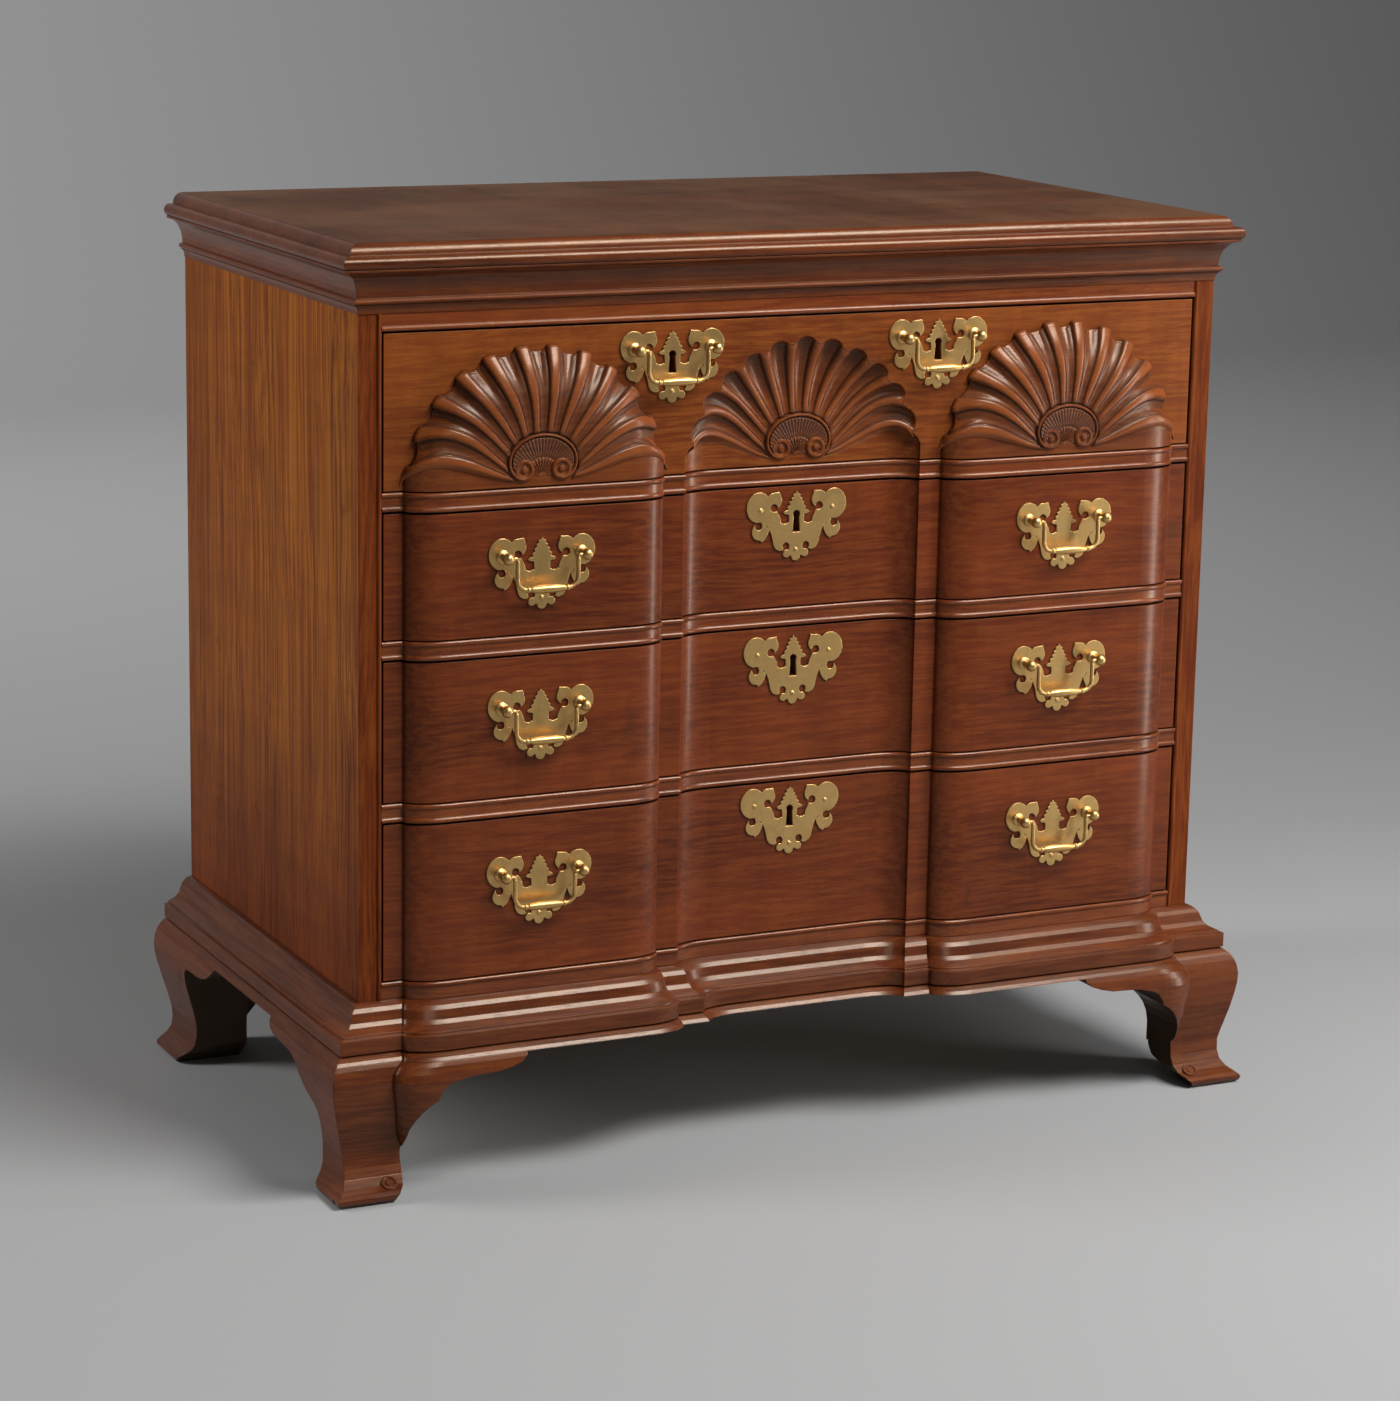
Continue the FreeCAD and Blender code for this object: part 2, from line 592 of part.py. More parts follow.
def makeRearFoot(label, sign):
    # a thick ogee bracket at the side, a plain shaped board across the back and a glue block
    half, depth = value("caseWidth / 2"), size("caseDepth")
    inside = half - 30
    outline = [(600, -1), (421, -1), (418, 3), (411, 8), (405, 13), (402.4, 19), (402, 27),
               (399, 38), (395.5, 50), (391.5, 64), (389, 76), (387.5, 88), (384, 100),
               (380.5, 108), (374, 111.4), (360, 112.2), (344, 112.4), (330, 113.8),
               (317, 117.2), (308, 123), (301, 131), (600, 131)]
    plain = sideWing(rearOgee, 30, depth - 190, depth).common(bracketOutline(outline, "x", 600))
    outline = [(inside, 0), (399, 0), (397, 30), (388, 40), (376, 58), (362, 74),
               (345, 86), (330, 97), (325, 110), (324, 130), (inside, 130)]
    where = [vec(x, depth - 24, z) for x, z in outline]
    rear = Part.Face(Part.makePolygon(where + where[:1])).extrude(vec(0, 20, 0))
    block = prism([(inside, depth - 24), (inside - 20, depth - 24), (inside, depth - 44)],
                  0.5, 130)
    pieces = [plain, rear, block]
    if sign < 0:
        pieces = [p.mirror(vec(0, 0, 0), vec(1, 0, 0)) for p in pieces]
    feature(label, pieces)


# ---------- carved shells ----------

# Twelve ribs fan out from a scroll: six to a side, the sixth a wing that runs down over the
# corner of the block. For each rib of the right half, from the middle outwards: where its foot
# is, which way it leaves (degrees from upright), where its tip is and which way it arrives.
ribs = {
    "footX": [6.6, 17.5, 27, 33, 35, 30], "footZ": [31, 28, 22, 13, -1, -10],
    "leave": [3, 15, 33, 44, 50, 76],
}
raised = {
    "tipX": [15.6, 48.2, 75.6, 99.3, 117.5, 129.5], "tipZ": [108, 100.5, 85, 63, 33.5, -3],
    "arrive": [8, 24, 40, 68, 108, 142],
}
sunk = {
    "tipX": [15, 44.8, 71.6, 94.6, 112.5, 122.5], "tipZ": [104.8, 96.6, 82.6, 63.5, 38.5, 5],
    "arrive": [8, 24, 40, 68, 108, 150],
}
crestHeights = [18.6, 20.2, 20.9, 19.2, 14.2, 5.2]
along = [0, 0.12, 0.26, 0.42, 0.58, 0.72, 0.84, 0.92, 0.97, 1]
wing, wingFoot = 5.5, 5.78


def smooth(table, k, mirrored=0):
    # a smooth curve through a table; mirrored by 1 or -1 it goes on past its first value
    last = len(table) - 1

    def at(i):
        if i < 0:
            return mirrored * table[-i - 1] if mirrored else 2 * table[0] - table[-i]
        return table[i] if i <= last else 2 * table[last] - table[2 * last - i]

    i = min(math.floor(k), last - 1) if not mirrored else math.floor(k)
    f = k - i
    a, b, c, d = at(i - 1), at(i), at(i + 1), at(i + 2)
    return b + 0.5 * f * (c - a + f * (2 * a - 5 * b + 4 * c - d + f * (3 * (b - c) + d - a)))


def ribPoint(shell, rib, v, short):
    # a point along a rib or flute, v = 0 at its foot and 1 at its tip
    side, k = (-1 if rib < 0 else 1), abs(rib) - 0.5
    leave = math.radians(smooth(ribs["leave"], k, -1))
    arrive = math.radians(smooth(shell["arrive"], k, -1))
    x0, z0 = smooth(ribs["footX"], k, -1), smooth(ribs["footZ"], k, 1)
    x3, z3 = smooth(shell["tipX"], k, -1) * (1 - short), smooth(shell["tipZ"], k, 1) * (1 - short)
    span = math.hypot(x3 - x0, z3 - z0)
    x1, z1 = x0 + 0.36 * span * math.sin(leave), z0 + 0.36 * span * math.cos(leave)
    x2, z2 = x3 - 0.38 * span * math.sin(arrive), z3 - 0.38 * span * math.cos(arrive)
    w = 1 - v
    a, b, c, d = w ** 3, 3 * w * w * v, 3 * w * v * v, v ** 3
    return side * (a * x0 + b * x1 + c * x2 + d * x3), a * z0 + b * z1 + c * z2 + d * z3


def crest(rib):
    # 1 along the crest of a rib, 0 in the middle of a flute
    off = abs(abs(rib) % 1 - 0.5)
    if off < 0.22:
        return 0.42 + 0.58 * math.cos(math.pi / 2 * off / 0.22)
    return 0.42 * ((0.5 - off) / 0.28) ** 2


def roundedSide(x, edge, deep):
    # section of a block or of the recess, whose side rounds over to nothing at its edge
    flatHalf = edge - size("roundRun")
    if abs(x) <= flatHalf:
        return deep
    return deep * math.sqrt(max(1 - ((abs(x) - flatHalf) / size("roundRun")) ** 2, 0))


def blockHalf():
    return (size("blockOuter") - size("blockInner")) / 2


def raisedPoint(rib, v):
    # the shell on a block: round ribs with hollow flutes between them, thin at the rim
    hollow = 1 - crest(min(abs(rib), wing))
    x, z = ribPoint(raised, rib, v, 0.055 * hollow)
    up = size("blockOut")
    lump = roundedSide(x, blockHalf(), up)
    top = smooth(crestHeights, 5 * v) * (0.35 + 0.65 * lump / up)
    top += max(min(abs(rib), wing) - wing + 1, 0) * max(lump + 1.8 - top, 0)
    height = top - hollow * (1.7 + 3.6 * v - 1.3 * v * v)
    if abs(rib) > wing:
        low = max(lump - 1, 0.3)
        height = low + (top - low) * math.cos(math.pi / 2 * (abs(rib) - wing) / 0.3)
    return vec(x, -max(height, 0.3), z)


def sunkPoint(rib, v):
    # the middle shell: its flutes sink from the flat front down to the floor of the recess
    ridge = crest(min(abs(rib), wing))
    x, z = ribPoint(sunk, rib, v, 0.055 * ridge)
    top = 14.0 * (1 - v ** 2.4)
    depth = top + (1 - ridge) * (1.5 + 6.5 * v) * math.sqrt(max(1 - v ** 9, 0))
    depth -= 0.8 * v ** 12
    if abs(rib) > wing:
        low = max(roundedSide(x, size("recessEdge"), size("recessIn")), top) + 0.3
        depth = top + (low - top) * math.sin(math.pi / 2 * (abs(rib) - wing) / 0.3)
    return vec(x, depth, z)


def ribLines():
    # where the strips of a shell meet: on every crest, shoulder, side and flute
    lines = [-wingFoot, -5.64]
    for n in range(-6, 6):
        for off in (-0.37, -0.25, -0.18, -0.09, 0, 0.09, 0.18, 0.25, 0.37, 0.5):
            if abs(n + 0.5 + off) < wing + 0.001:
                lines.append(n + 0.5 + off)
    return lines + [5.64, wingFoot]


def splineEdge(points):
    spline = Part.BSplineCurve()
    spline.interpolate(Points=points, Parameters=along)
    return spline.toShape()


def carved(point, level):
    # the solid between a shell's surface, built of ruled strips, and a flat face at y = level
    rows = [[point(rib, v) for v in along] for rib in ribLines()]
    flats = [[vec(p.x, level, p.z) for p in row] for row in rows]
    lines = [splineEdge(row) for row in rows]
    ends = [splineEdge(flats[0]), splineEdge(flats[-1])]
    faces = [Part.makeRuledSurface(a, b) for a, b in zip(lines, lines[1:])]
    faces += [Part.makeRuledSurface(a, b) for a, b in ((lines[0], ends[0]), (lines[-1], ends[1]))]
    back = ends[:]
    for end in (0, -1):
        for a, b, c, d in zip(rows, rows[1:], flats[1:], flats):
            corners = [a[end], b[end], c[end], d[end]]
            faces.append(Part.Face(Part.makePolygon(corners + corners[:1])))
            back.append(Part.makeLine(d[end], c[end]))
    faces.append(Part.Face(Part.Wire(Part.__sortEdges__(back))))
    skin = Part.Compound(faces)
    skin.sewShape()
    solid = Part.Solid(skin.Shells[0])
    if solid.Volume < 0:
        solid.reverse()
    return solid


def underShell(shell, edge, deep, low, inset):
    # The stretch of block or recess below the two wings and inside the fan, down to z = low.
    # "deep" is its projection, negative for the recess.
    run = size("roundRun")
    q = math.pi / 2
    sides = [Part.Ellipse(vec(x, 0), run, abs(deep)) for x in (-edge + run, edge - run)]
    arcs = ((2 * q, 3 * q), (3 * q, 4 * q)) if deep > 0 else ((q, 2 * q), (0, q))
    edges = [Part.ArcOfEllipse(e, *turn).toShape() for e, turn in zip(sides, arcs)]
    edges.append(Part.makeLine(vec(-edge + run, -deep), vec(edge - run, -deep)))
    edges.append(Part.makeLine(vec(-edge, 0), vec(edge, 0)))
    column = Part.Face(Part.Wire(Part.__sortEdges__(edges))).extrude(vec(0, 0, 80))
    column.translate(vec(0, 0, low))
    reach = wingFoot - inset
    start = inset / 4
    outline = [ribPoint(shell, -reach, max(v, start), 0) for v in along[::-1]]
    outline += [ribPoint(shell, rib / 2, start, 0) for rib in range(-11, 12)]
    outline += [ribPoint(shell, reach, max(v, start), 0) for v in along]
    outline = [(-edge - 9, outline[0][1])] + outline + [(edge + 9, outline[0][1])]
    outline += [(edge + 9, low - 5), (-edge - 9, low - 5)]
    where = [vec(x, -60, z) for x, z in outline]
    region = Part.Face(Part.makePolygon(where + where[:1])).extrude(vec(0, 120, 0))
    return column.common(region)


def turned(profile, x, z):
    # a round button or scroll end, its section given as (radius, y)
    wire = Part.makePolygon([vec(r, y) for r, y in profile + profile[:1]])
    shape = Part.Face(wire).revolve(vec(0, 0), vec(0, 1, 0), 360)
    shape.translate(vec(x, 0, z))
    return shape


def scrollBand(inset, floor, proud):
    # the filled outline of the scroll, drawn in by inset: an arch that curls under at each side
    points = list(arcPoints((0, 5), (34.6 - inset, 26.2 - inset), 0, 180, 24))
    points += list(arcPoints((-18.4, 5), (16.2 - inset, 17.4 - inset), 180, 270, 7))[1:]
    points += list(arcPoints((18.4, 5), (16.2 - inset, 17.4 - inset), 270, 360, 7))[:-1]
    where = [vec(x, floor - proud, z) for x, z in points]
    return Part.makePolygon(where + where[:1])


def scrollWork(x, floor):
    # the scroll at the foot of a shell, on a floor at that y: a rounded band whose two ends
    # curl in to buttons
    outer = Part.makeLoft([scrollBand(0, floor, 0), scrollBand(0.3, floor, 2.2),
                           scrollBand(1.2, floor, 3.2)], True, True)
    inner = Part.makeLoft([scrollBand(3.5, floor, 0), scrollBand(3.2, floor, 2.2),
                           scrollBand(2.3, floor, 3.2)], True, True)
    band = outer.cut(inner).cut(Part.makeBox(36.8, 8, 20, vec(-18.4, floor - 5, -15)))
    ends = []
    for side in (-1, 1):
        ends.append(turned([(0, floor), (0, floor - 3.2), (2.4, floor - 2.8), (3.6, floor - 1.2),
                            (5.4, floor - 1.2), (7.0, floor - 3.0), (9.0, floor - 2.8),
                            (10.2, floor - 1.2), (10.2, floor)], side * 18.4, -2.2))
    work = band.fuse(ends)
    work.translate(vec(x, 0, size("shellHeight")))
    return work


def sunkShellTool():
    # what is carved away for the middle shell, with the stretch of recess under it
    low = size("openLowA") + size("gapLow") - size("shellHeight")
    fan = carved(sunkPoint, -size("shellLip"))
    under = underShell(sunk, size("recessEdge"), -size("recessIn"), low - 20, 0.03)
    tool = fan.fuse(under)
    tool.translate(vec(0, 0, size("shellHeight")))
    return tool


def makeShells():
    # the two raised shells of drawer 1, each with the short piece of block under it
    low = size("openLowA") + size("gapLow") - size("shellHeight")
    pieces = []
    for x in (-size("pullCentre"), size("pullCentre")):
        fan = carved(raisedPoint, 0)
        under = underShell(raised, blockHalf(), size("blockOut"), low, 0.16)
        shell = fan.fuse(under)
        shell.translate(vec(x, 0, size("shellHeight")))
        pieces += [shell, scrollWork(x, -size("blockOut"))]
    feature("drawer_1_shells", pieces)


# ---------- drawers ----------

def pullPlaces(n):
    # (x, y of the wood's face, z, has a keyhole) of each bail pull of drawer n
    if n == 1:
        x, y = size("pullCentreTop"), 0.0
    else:
        x, y = size("pullCentre"), -size("blockOut")
    z = size("pullHeight" + drawers[n])
    return [(-x, y, z, n == 1), (x, y, z, n == 1)]


def lockPlaces(n):
    if n == 1:
        return [-size("pullCentreTop"), size("pullCentreTop")]
    return [0.0]


def makeFront(n):
    # a thick board sawn to the block front; drawer 1 is flat, and its recess is a carved shell
    key = drawers[n]
    low, high = size("openLow" + key) + size("gapLow"), size("openHigh" + key) - size("gapHigh")
    half, back = size("openHalf") - size("gapSide"), size("frontBack")
    body = doc.addObject("PartDesign::Body", "Front%d" % n)
    sketch = sketchOn(body, "XY_Plane", "FrontPlan%d" % n)
    if n == 1:
        right = "Sheet.openHalf - Sheet.gapSide"
        polygon(sketch, [("-(%s)" % right, "0"), (right, "0"), (right, "Sheet.frontBack"),
                         ("-(%s)" % right, "Sheet.frontBack")])
    else:
        for piece in contour(0, half) + [
            Part.LineSegment(vec(half, 0), vec(half, back)),
            Part.LineSegment(vec(half, back), vec(-half, back)),
            Part.LineSegment(vec(-half, back), vec(-half, 0)),
        ]:
            sketch.addGeometry(piece, False)
        joinLoose(sketch)
    tall = "Sheet.openHigh{0} - Sheet.gapHigh - Sheet.openLow{0} - Sheet.gapLow".format(key)
    pad(body, sketch, tall, "FrontBoard%d" % n)
    doc.recompute()

    # mortises for the lock cases, open at the top edge
    mortise = sketchOn(body, "XY_Plane", "LockPlan%d" % n)
    for x in lockPlaces(n):
        polygon(mortise, [("%g - Sheet.lockWide / 2 - 0.5" % x, "Sheet.frontBack - Sheet.lockThick"),
                          ("%g + Sheet.lockWide / 2 + 0.5" % x, "Sheet.frontBack - Sheet.lockThick"),
                          ("%g + Sheet.lockWide / 2 + 0.5" % x, "Sheet.frontBack + 5"),
                          ("%g - Sheet.lockWide / 2 - 0.5" % x, "Sheet.frontBack + 5")])
    mortise.setExpression("AttachmentOffset.Base.z", tall + " - Sheet.lockTall")
    cutOut(body, mortise, "Sheet.lockTall + 5", "LockMortise%d" % n, reverse=True)

    # keyholes through to the locks: a round head over a foot that widens downwards
    slots = sketchOn(body, "XZ_Plane", "Keyholes%d" % n)
    keyZ = size("pullHeightA") if n == 1 else size("keyHeight" + key)
    for x in lockPlaces(n):
        head, foot = keyZ - low + 8.2, keyZ - low - 6.5
        for piece in (arc(vec(x - 2.6, head), vec(x, keyZ - low + 13.9), vec(x + 2.6, head)),
                      Part.LineSegment(vec(x + 2.6, head), vec(x + 3.6, foot)),
                      Part.LineSegment(vec(x + 3.6, foot), vec(x - 3.6, foot)),
                      Part.LineSegment(vec(x - 3.6, foot), vec(x - 2.6, head))):
            slots.addGeometry(piece, False)
    joinLoose(slots)
    cutOut(body, slots, "200", "KeyholeCuts%d" % n, midplane=True)

    # holes for the shanks of the pulls
    holes = sketchOn(body, "XZ_Plane", "ShankHoles%d" % n)
    for x, y, z, keyhole in pullPlaces(n):
        for side in (-1, 1):
            holes.addGeometry(Part.Circle(vec(x + side * size("postHalf"),
                                              z + size("postUp") - low), vec(0, 0, 1),
                                          size("shankHole")), False)
    cutOut(body, holes, "200", "ShankBores%d" % n, midplane=True)
    body.setExpression("Placement.Base.z", "Sheet.openLow%s + Sheet.gapLow" % drawers[n])
    if n > 1:
        keep(body, "drawer_%d_front" % n)
        return
    hollow = doc.addObject("Part::Feature", "SunkShellTool")
    hollow.Shape = sunkShellTool()
    cut = doc.addObject("Part::Cut", "SunkShell")
    cut.Base, cut.Tool = body, hollow
    scroll = doc.addObject("Part::Feature", "SunkScroll")
    scroll.Shape = scrollWork(0, size("recessIn"))
    carvedFront = doc.addObject("Part::Fuse", "CarvedFront")
    carvedFront.Base, carvedFront.Tool = cut, scroll
    keep(carvedFront, "drawer_1_front")


def makeBox(n):
    # two sides and a back, with the bottom let in between them
    key = drawers[n]
    low = "Sheet.openLow%s + 0.3" % key
    high = "Sheet.openHigh%s - Sheet.gapHigh - Sheet.drawerLower" % key
    out = "Sheet.openHalf - Sheet.gapSide - 0.5"
    inn = "Sheet.openHalf - Sheet.gapSide - 0.5 - Sheet.drawerSide"
    sides = [
        board("Side%dL" % n, ("-(%s)" % out, "Sheet.frontBack", low),
              ("-(%s)" % inn, "Sheet.drawerDepth", high)),
        board("Side%dR" % n, (inn, "Sheet.frontBack", low), (out, "Sheet.drawerDepth", high)),
        board("Back%dD" % n,
              ("-(%s)" % inn, "Sheet.drawerDepth - Sheet.drawerSide",
               low + " + Sheet.bottomUp + Sheet.bottomThick"),
              (inn, "Sheet.drawerDepth", high + " - 4")),
    ]
    gather("drawer_%d_box" % n, sides)
    base = board("Bottom%d" % n, ("-(%s)" % inn, "Sheet.frontBack", low + " + Sheet.bottomUp"),
                 (inn, "Sheet.drawerDepth + 4", low + " + Sheet.bottomUp + Sheet.bottomThick"))
    keep(base, "drawer_%d_bottom" % n)
    base.setExpression("Placement.Base.y", "Sheet.frontY + Sheet.frontBack")


# ---------- brasses ----------

def disc(x, z, r, thick=1.0):
    return Part.makeCylinder(r, thick, vec(x, 0, z), vec(0, -1, 0))


def oval(x, z, rx, rz, thick=1.0):
    # an upright oval, rz tall
    curve = Part.Ellipse(vec(0, 0), rz, rx).toShape()
    curve.rotate(vec(0, 0), vec(0, 0, 1), 90)
    curve.rotate(vec(0, 0), vec(1, 0, 0), 90)
    curve.translate(vec(x, 0, z))
    return Part.Face(Part.Wire(curve)).extrude(vec(0, -thick, 0))


def flat(points, thick=1.0):
    where = [vec(x, 0, z) for x, z in points]
    return Part.Face(Part.makePolygon(where + where[:1])).extrude(vec(0, -thick, 0))


def bothSides(shapes):
    return shapes + [s.mirror(vec(0, 0, 0), vec(1, 0, 0)) for s in shapes]


def makePlate(keyhole, pins):
    # Pierced plate, the same left and right: a leafy finial and a shield, and on each side a
    # round ear, a hooked inner lobe, a hooked lower lobe and a lobe of the trefoil foot.
    thick = size("plateThick")
    edge = [(1.0, 30.6), (3.6, 29.3), (3.9, 28.3), (2.9, 27), (5.4, 25.9), (5.8, 24.8), (4.7, 23.3),
            (7.3, 22.1), (7.7, 20.9), (6.6, 19.3), (9.3, 18), (9.8, 16.7), (8.7, 14.9), (12.4, 13.6),
            (14, 12.2), (12.2, 10.9), (8, 10), (8, -6)]
    finial = flat([(0, 32.6)] + edge + [(-x, z) for x, z in reversed(edge)], thick)
    half = [
        flat([(-1, 2.5), (16.4, 2.5), (16.8, 6.5), (18.2, 9), (19.5, 12), (21, 13.8),
              (24, 13.8), (30, 16), (38, 16), (40, 6), (34, 2), (31, 0), (28.3, -2.6),
              (26, -8.5), (24.7, -13.5), (23.6, -18.5), (21.3, -22.2), (17.8, -24),
              (14.8, -24), (12.8, -22.6), (-1, -22.6)], thick),
        oval(39.6, 18.6, 13.1, 14.6, thick),
        disc(24, 23.9, 8.1, thick),
        flat([(17, 28), (18.2, 32.4), (23, 32), (24, 28)], thick),
        disc(38.6, -4.6, 8.2, thick),
        flat([(28.4, -2.6), (30.3, -8), (33, -12.3), (36.6, -14.8), (38.4, -12.2), (36, -2),
              (32, 0)], thick),
        disc(9.6, -27, 3.8, thick),
        flat([(-1, -20), (7, -20), (7.6, -23.4), (10, -24), (8, -29), (-1, -30)], thick),
    ]
    plate = finial.fuse(bothSides(half) + [disc(0, -29.6, 4.6, thick)])
    holes = bothSides([disc(12.4, 6.1, 4.6, thick), disc(23.9, 17.4, 3.8, thick),
                       disc(39.9, 0.8, 3.8, thick), disc(10.5, -19.9, 3.6, thick)])
    holes.append(disc(0, -23.8, size("tackHole"), thick))
    if pins:
        holes += bothSides([disc(37.9, 15.5, size("tackHole"), thick)])
    else:
        holes += bothSides([disc(size("postHalf"), size("postUp"), size("shankHole"), thick)])
    if keyhole:
        holes += [disc(0, 10.6, 3.7, thick),
                  flat([(-2.9, 9), (2.9, 9), (3.9, -6.8), (-3.9, -6.8)], thick)]
    return plate.cut(holes).removeSplitter()


def tack(x, z):
    # a domed brass tack that holds a plate, its stem cut off at the wood
    thick, r = size("plateThick"), size("tackHole") - 0.1
    outline = [(0, 0), (r, 0), (r, -thick - 0.01), (2.2, -thick - 0.01), (1.9, -thick - 0.6),
               (1.1, -thick - 1.0), (0, -thick - 1.1)]
    where = [vec(radius, y, 0) for radius, y in outline]
    head = Part.Face(Part.makePolygon(where + where[:1])).revolve(vec(0, 0), vec(0, 1, 0), 360)
    head.translate(vec(x, 0, z))
    return head


def makePlates(n):
    # one pierced plate behind each bail, and on the lower drawers one round the keyhole
    pieces = []
    for x, y, z, keyhole in pullPlaces(n):
        for piece in (makePlate(keyhole, False), tack(0, -23.8)):
            piece.translate(vec(x, y, z))
            pieces.append(piece)
    if n > 1:
        tacks = [tack(-37.9, 15.5), tack(37.9, 15.5), tack(0, -23.8)]
        for piece in [makePlate(True, True)] + tacks:
            piece.translate(vec(0, size("recessIn"), size("keyHeight" + drawers[n])))
            pieces.append(piece)
    feature("drawer_%d_plates" % n, pieces)


def makePosts(n):
    # turned posts: a collar on the plate, a neck and a ball that takes the bail's end; the
    # shank goes through the drawer front to a nut inside
    reach, ball = size("postReach"), size("headRadius")
    thick, shank, back = size("plateThick"), size("shankRadius"), size("frontBack")
    pieces = []
    for x, y, z, keyhole in pullPlaces(n):
        front = y - thick
        for side in (-1, 1):
            outline = [(0, back + 8), (shank, back + 8), (shank, front + 0.01), (6.2, front + 0.01),
                       (6.2, front - 1.4), (3.6, front - 3.0), (2.9, front - 6.0),
                       (3.4, front - 9.6), (3.0, front - 11), (0, front - 11)]
            where = [vec(r, yy, 0) for r, yy in outline]
            post = Part.Face(Part.makePolygon(where + where[:1]))
            post = post.revolve(vec(0, 0, 0), vec(0, 1, 0), 360)
            post = post.fuse(Part.makeSphere(ball, vec(0, front - reach, 0)))
            hole = Part.makeCylinder(size("pinHole"), 2 * ball, vec(0, front - reach, 0),
                                     vec(-side, 0, 0))
            hole.translate(vec(-side * 0.8, 0, 0))
            post = post.cut(hole)
            nut = Part.makeCylinder(6.2, 3.2, vec(0, back, 0), vec(0, 1, 0))
            nut = nut.cut(Part.makeCylinder(shank + 0.05, 4, vec(0, back - 0.2, 0), vec(0, 1, 0)))
            for piece in (post, nut):
                piece.translate(vec(x + side * size("postHalf"), 0, z + size("postUp")))
                pieces.append(piece)
    feature("drawer_%d_posts" % n, pieces)


def makeBail(label, x, y, z):
    # A swan-necked bail: round ends in the posts, bowed arms, small collars and a grip that
    # swells in the middle. It hangs from the axis through the two ball heads.
    pin, thin, grip, drop = size("pinRadius"), 2.1, size("gripRadius"), size("bailDrop")
    arm = size("postHalf") - size("headRadius") - 0.9
    yy = y - size("plateThick") - size("postReach")
    tight, wide = 2.5, 10
    hook = Part.Face(Part.Wire(Part.makeCircle(pin, vec(arm, 0, 0), vec(1, 0, 0))))
    bend = Part.Face(Part.Wire(Part.makeCircle(thin, vec(arm - tight, 0, wide - drop))))
    limb = Part.makeCylinder(pin, 4, vec(arm, 0, 0), vec(1, 0, 0))
    limb = limb.fuse([
        hook.revolve(vec(arm, 0, -tight), vec(0, -1, 0), 90),
        Part.makeCylinder(thin, drop - wide - tight, vec(arm - tight, 0, wide - drop)),
        bend.revolve(vec(arm - tight - wide, 0, wide - drop), vec(0, 1, 0), 90),
    ])
    edge = [(0, 21.2), (2.3, 21.2), (3.0, 20), (3.0, 18.8), (2.2, 17.6), (2.8, 16.2), (3.5, 11),
            (3.9, 5.5), (grip, 0)]
    outline = edge + [(t, -r) for t, r in reversed(edge[:-1])]
    where = [vec(t, 0, r - drop) for r, t in outline]
    bar = Part.Face(Part.makePolygon(where + where[:1]))
    bar = bar.revolve(vec(0, 0, -drop), vec(1, 0, 0), 360)
    bail = bar.fuse([limb, limb.mirror(vec(0, 0, 0), vec(1, 0, 0))])
    bail.translate(vec(x, yy, z + size("postUp")))
    feature(label, bail)


def makeLock(n):
    # a lock case let into the back of the drawer front, with a slot for its bolt
    high = size("openHigh" + drawers[n]) - size("gapHigh")
    wide, tall, thick = size("lockWide"), size("lockTall"), size("lockThick")
    bw, bt, bh = size("boltWide"), size("boltThick"), size("boltTall")
    cases = []
    for k, x in enumerate(lockPlaces(n)):
        case = Part.makeBox(wide, thick - 0.5, tall, vec(x - wide / 2, size("frontBack") - thick
                                                        + 0.5, high - tall))
        slot = Part.makeBox(bw + 0.8, bt + 0.8, bh + 1,
                            vec(x - bw / 2 - 0.4, boltFront() - 0.4, high - bh - 0.6))
        cases.append(case.cut(slot))
        bolt = Part.makeBox(bw, bt, bh, vec(x - bw / 2, boltFront(), high - bh - 0.3))
        name = "lock_bolt_%d" % n
        if n == 1:
            name += "_left" if k == 0 else "_right"
        feature(name, bolt)
    feature("drawer_%d_lock" % n, cases)


# ---------- the whole chest ----------

makeTop()
makeCase()
makeTopRail()
makeRails()
makeCornice()
makeBase()
for label, sign in (("foot_front_left", -1), ("foot_front_right", 1)):
    makeFrontFoot(label, sign)
for label, sign in (("foot_rear_left", -1), ("foot_rear_right", 1)):
    makeRearFoot(label, sign)
for n in drawers:
    makeFront(n)
    makeBox(n)
    makePlates(n)
    makePosts(n)
    makeLock(n)
    for side, place in zip(("left", "right"), pullPlaces(n)):
        makeBail("bail_%d_%s" % (n, side), *place[:3])
makeShells()

doc.recompute()
for obj in doc.Objects:
    if "Invalid" in obj.State or "Error" in obj.State:
        raise RuntimeError("%s failed: %s" % (obj.Label, obj.State))
os.makedirs("parts", exist_ok=True)
total = FreeCAD.BoundBox()
for label, obj in parts.items():
    shape = obj.Shape
    if shape.isNull() or not shape.isValid():
        raise RuntimeError(label + " is not a valid shape")
    shape.exportStep("parts/%s.step" % label)
    total.add(shape.BoundBox)
print("%d parts, %s" % (len(parts), total))
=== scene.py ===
import math

import bpy
from mathutils import Matrix, Vector


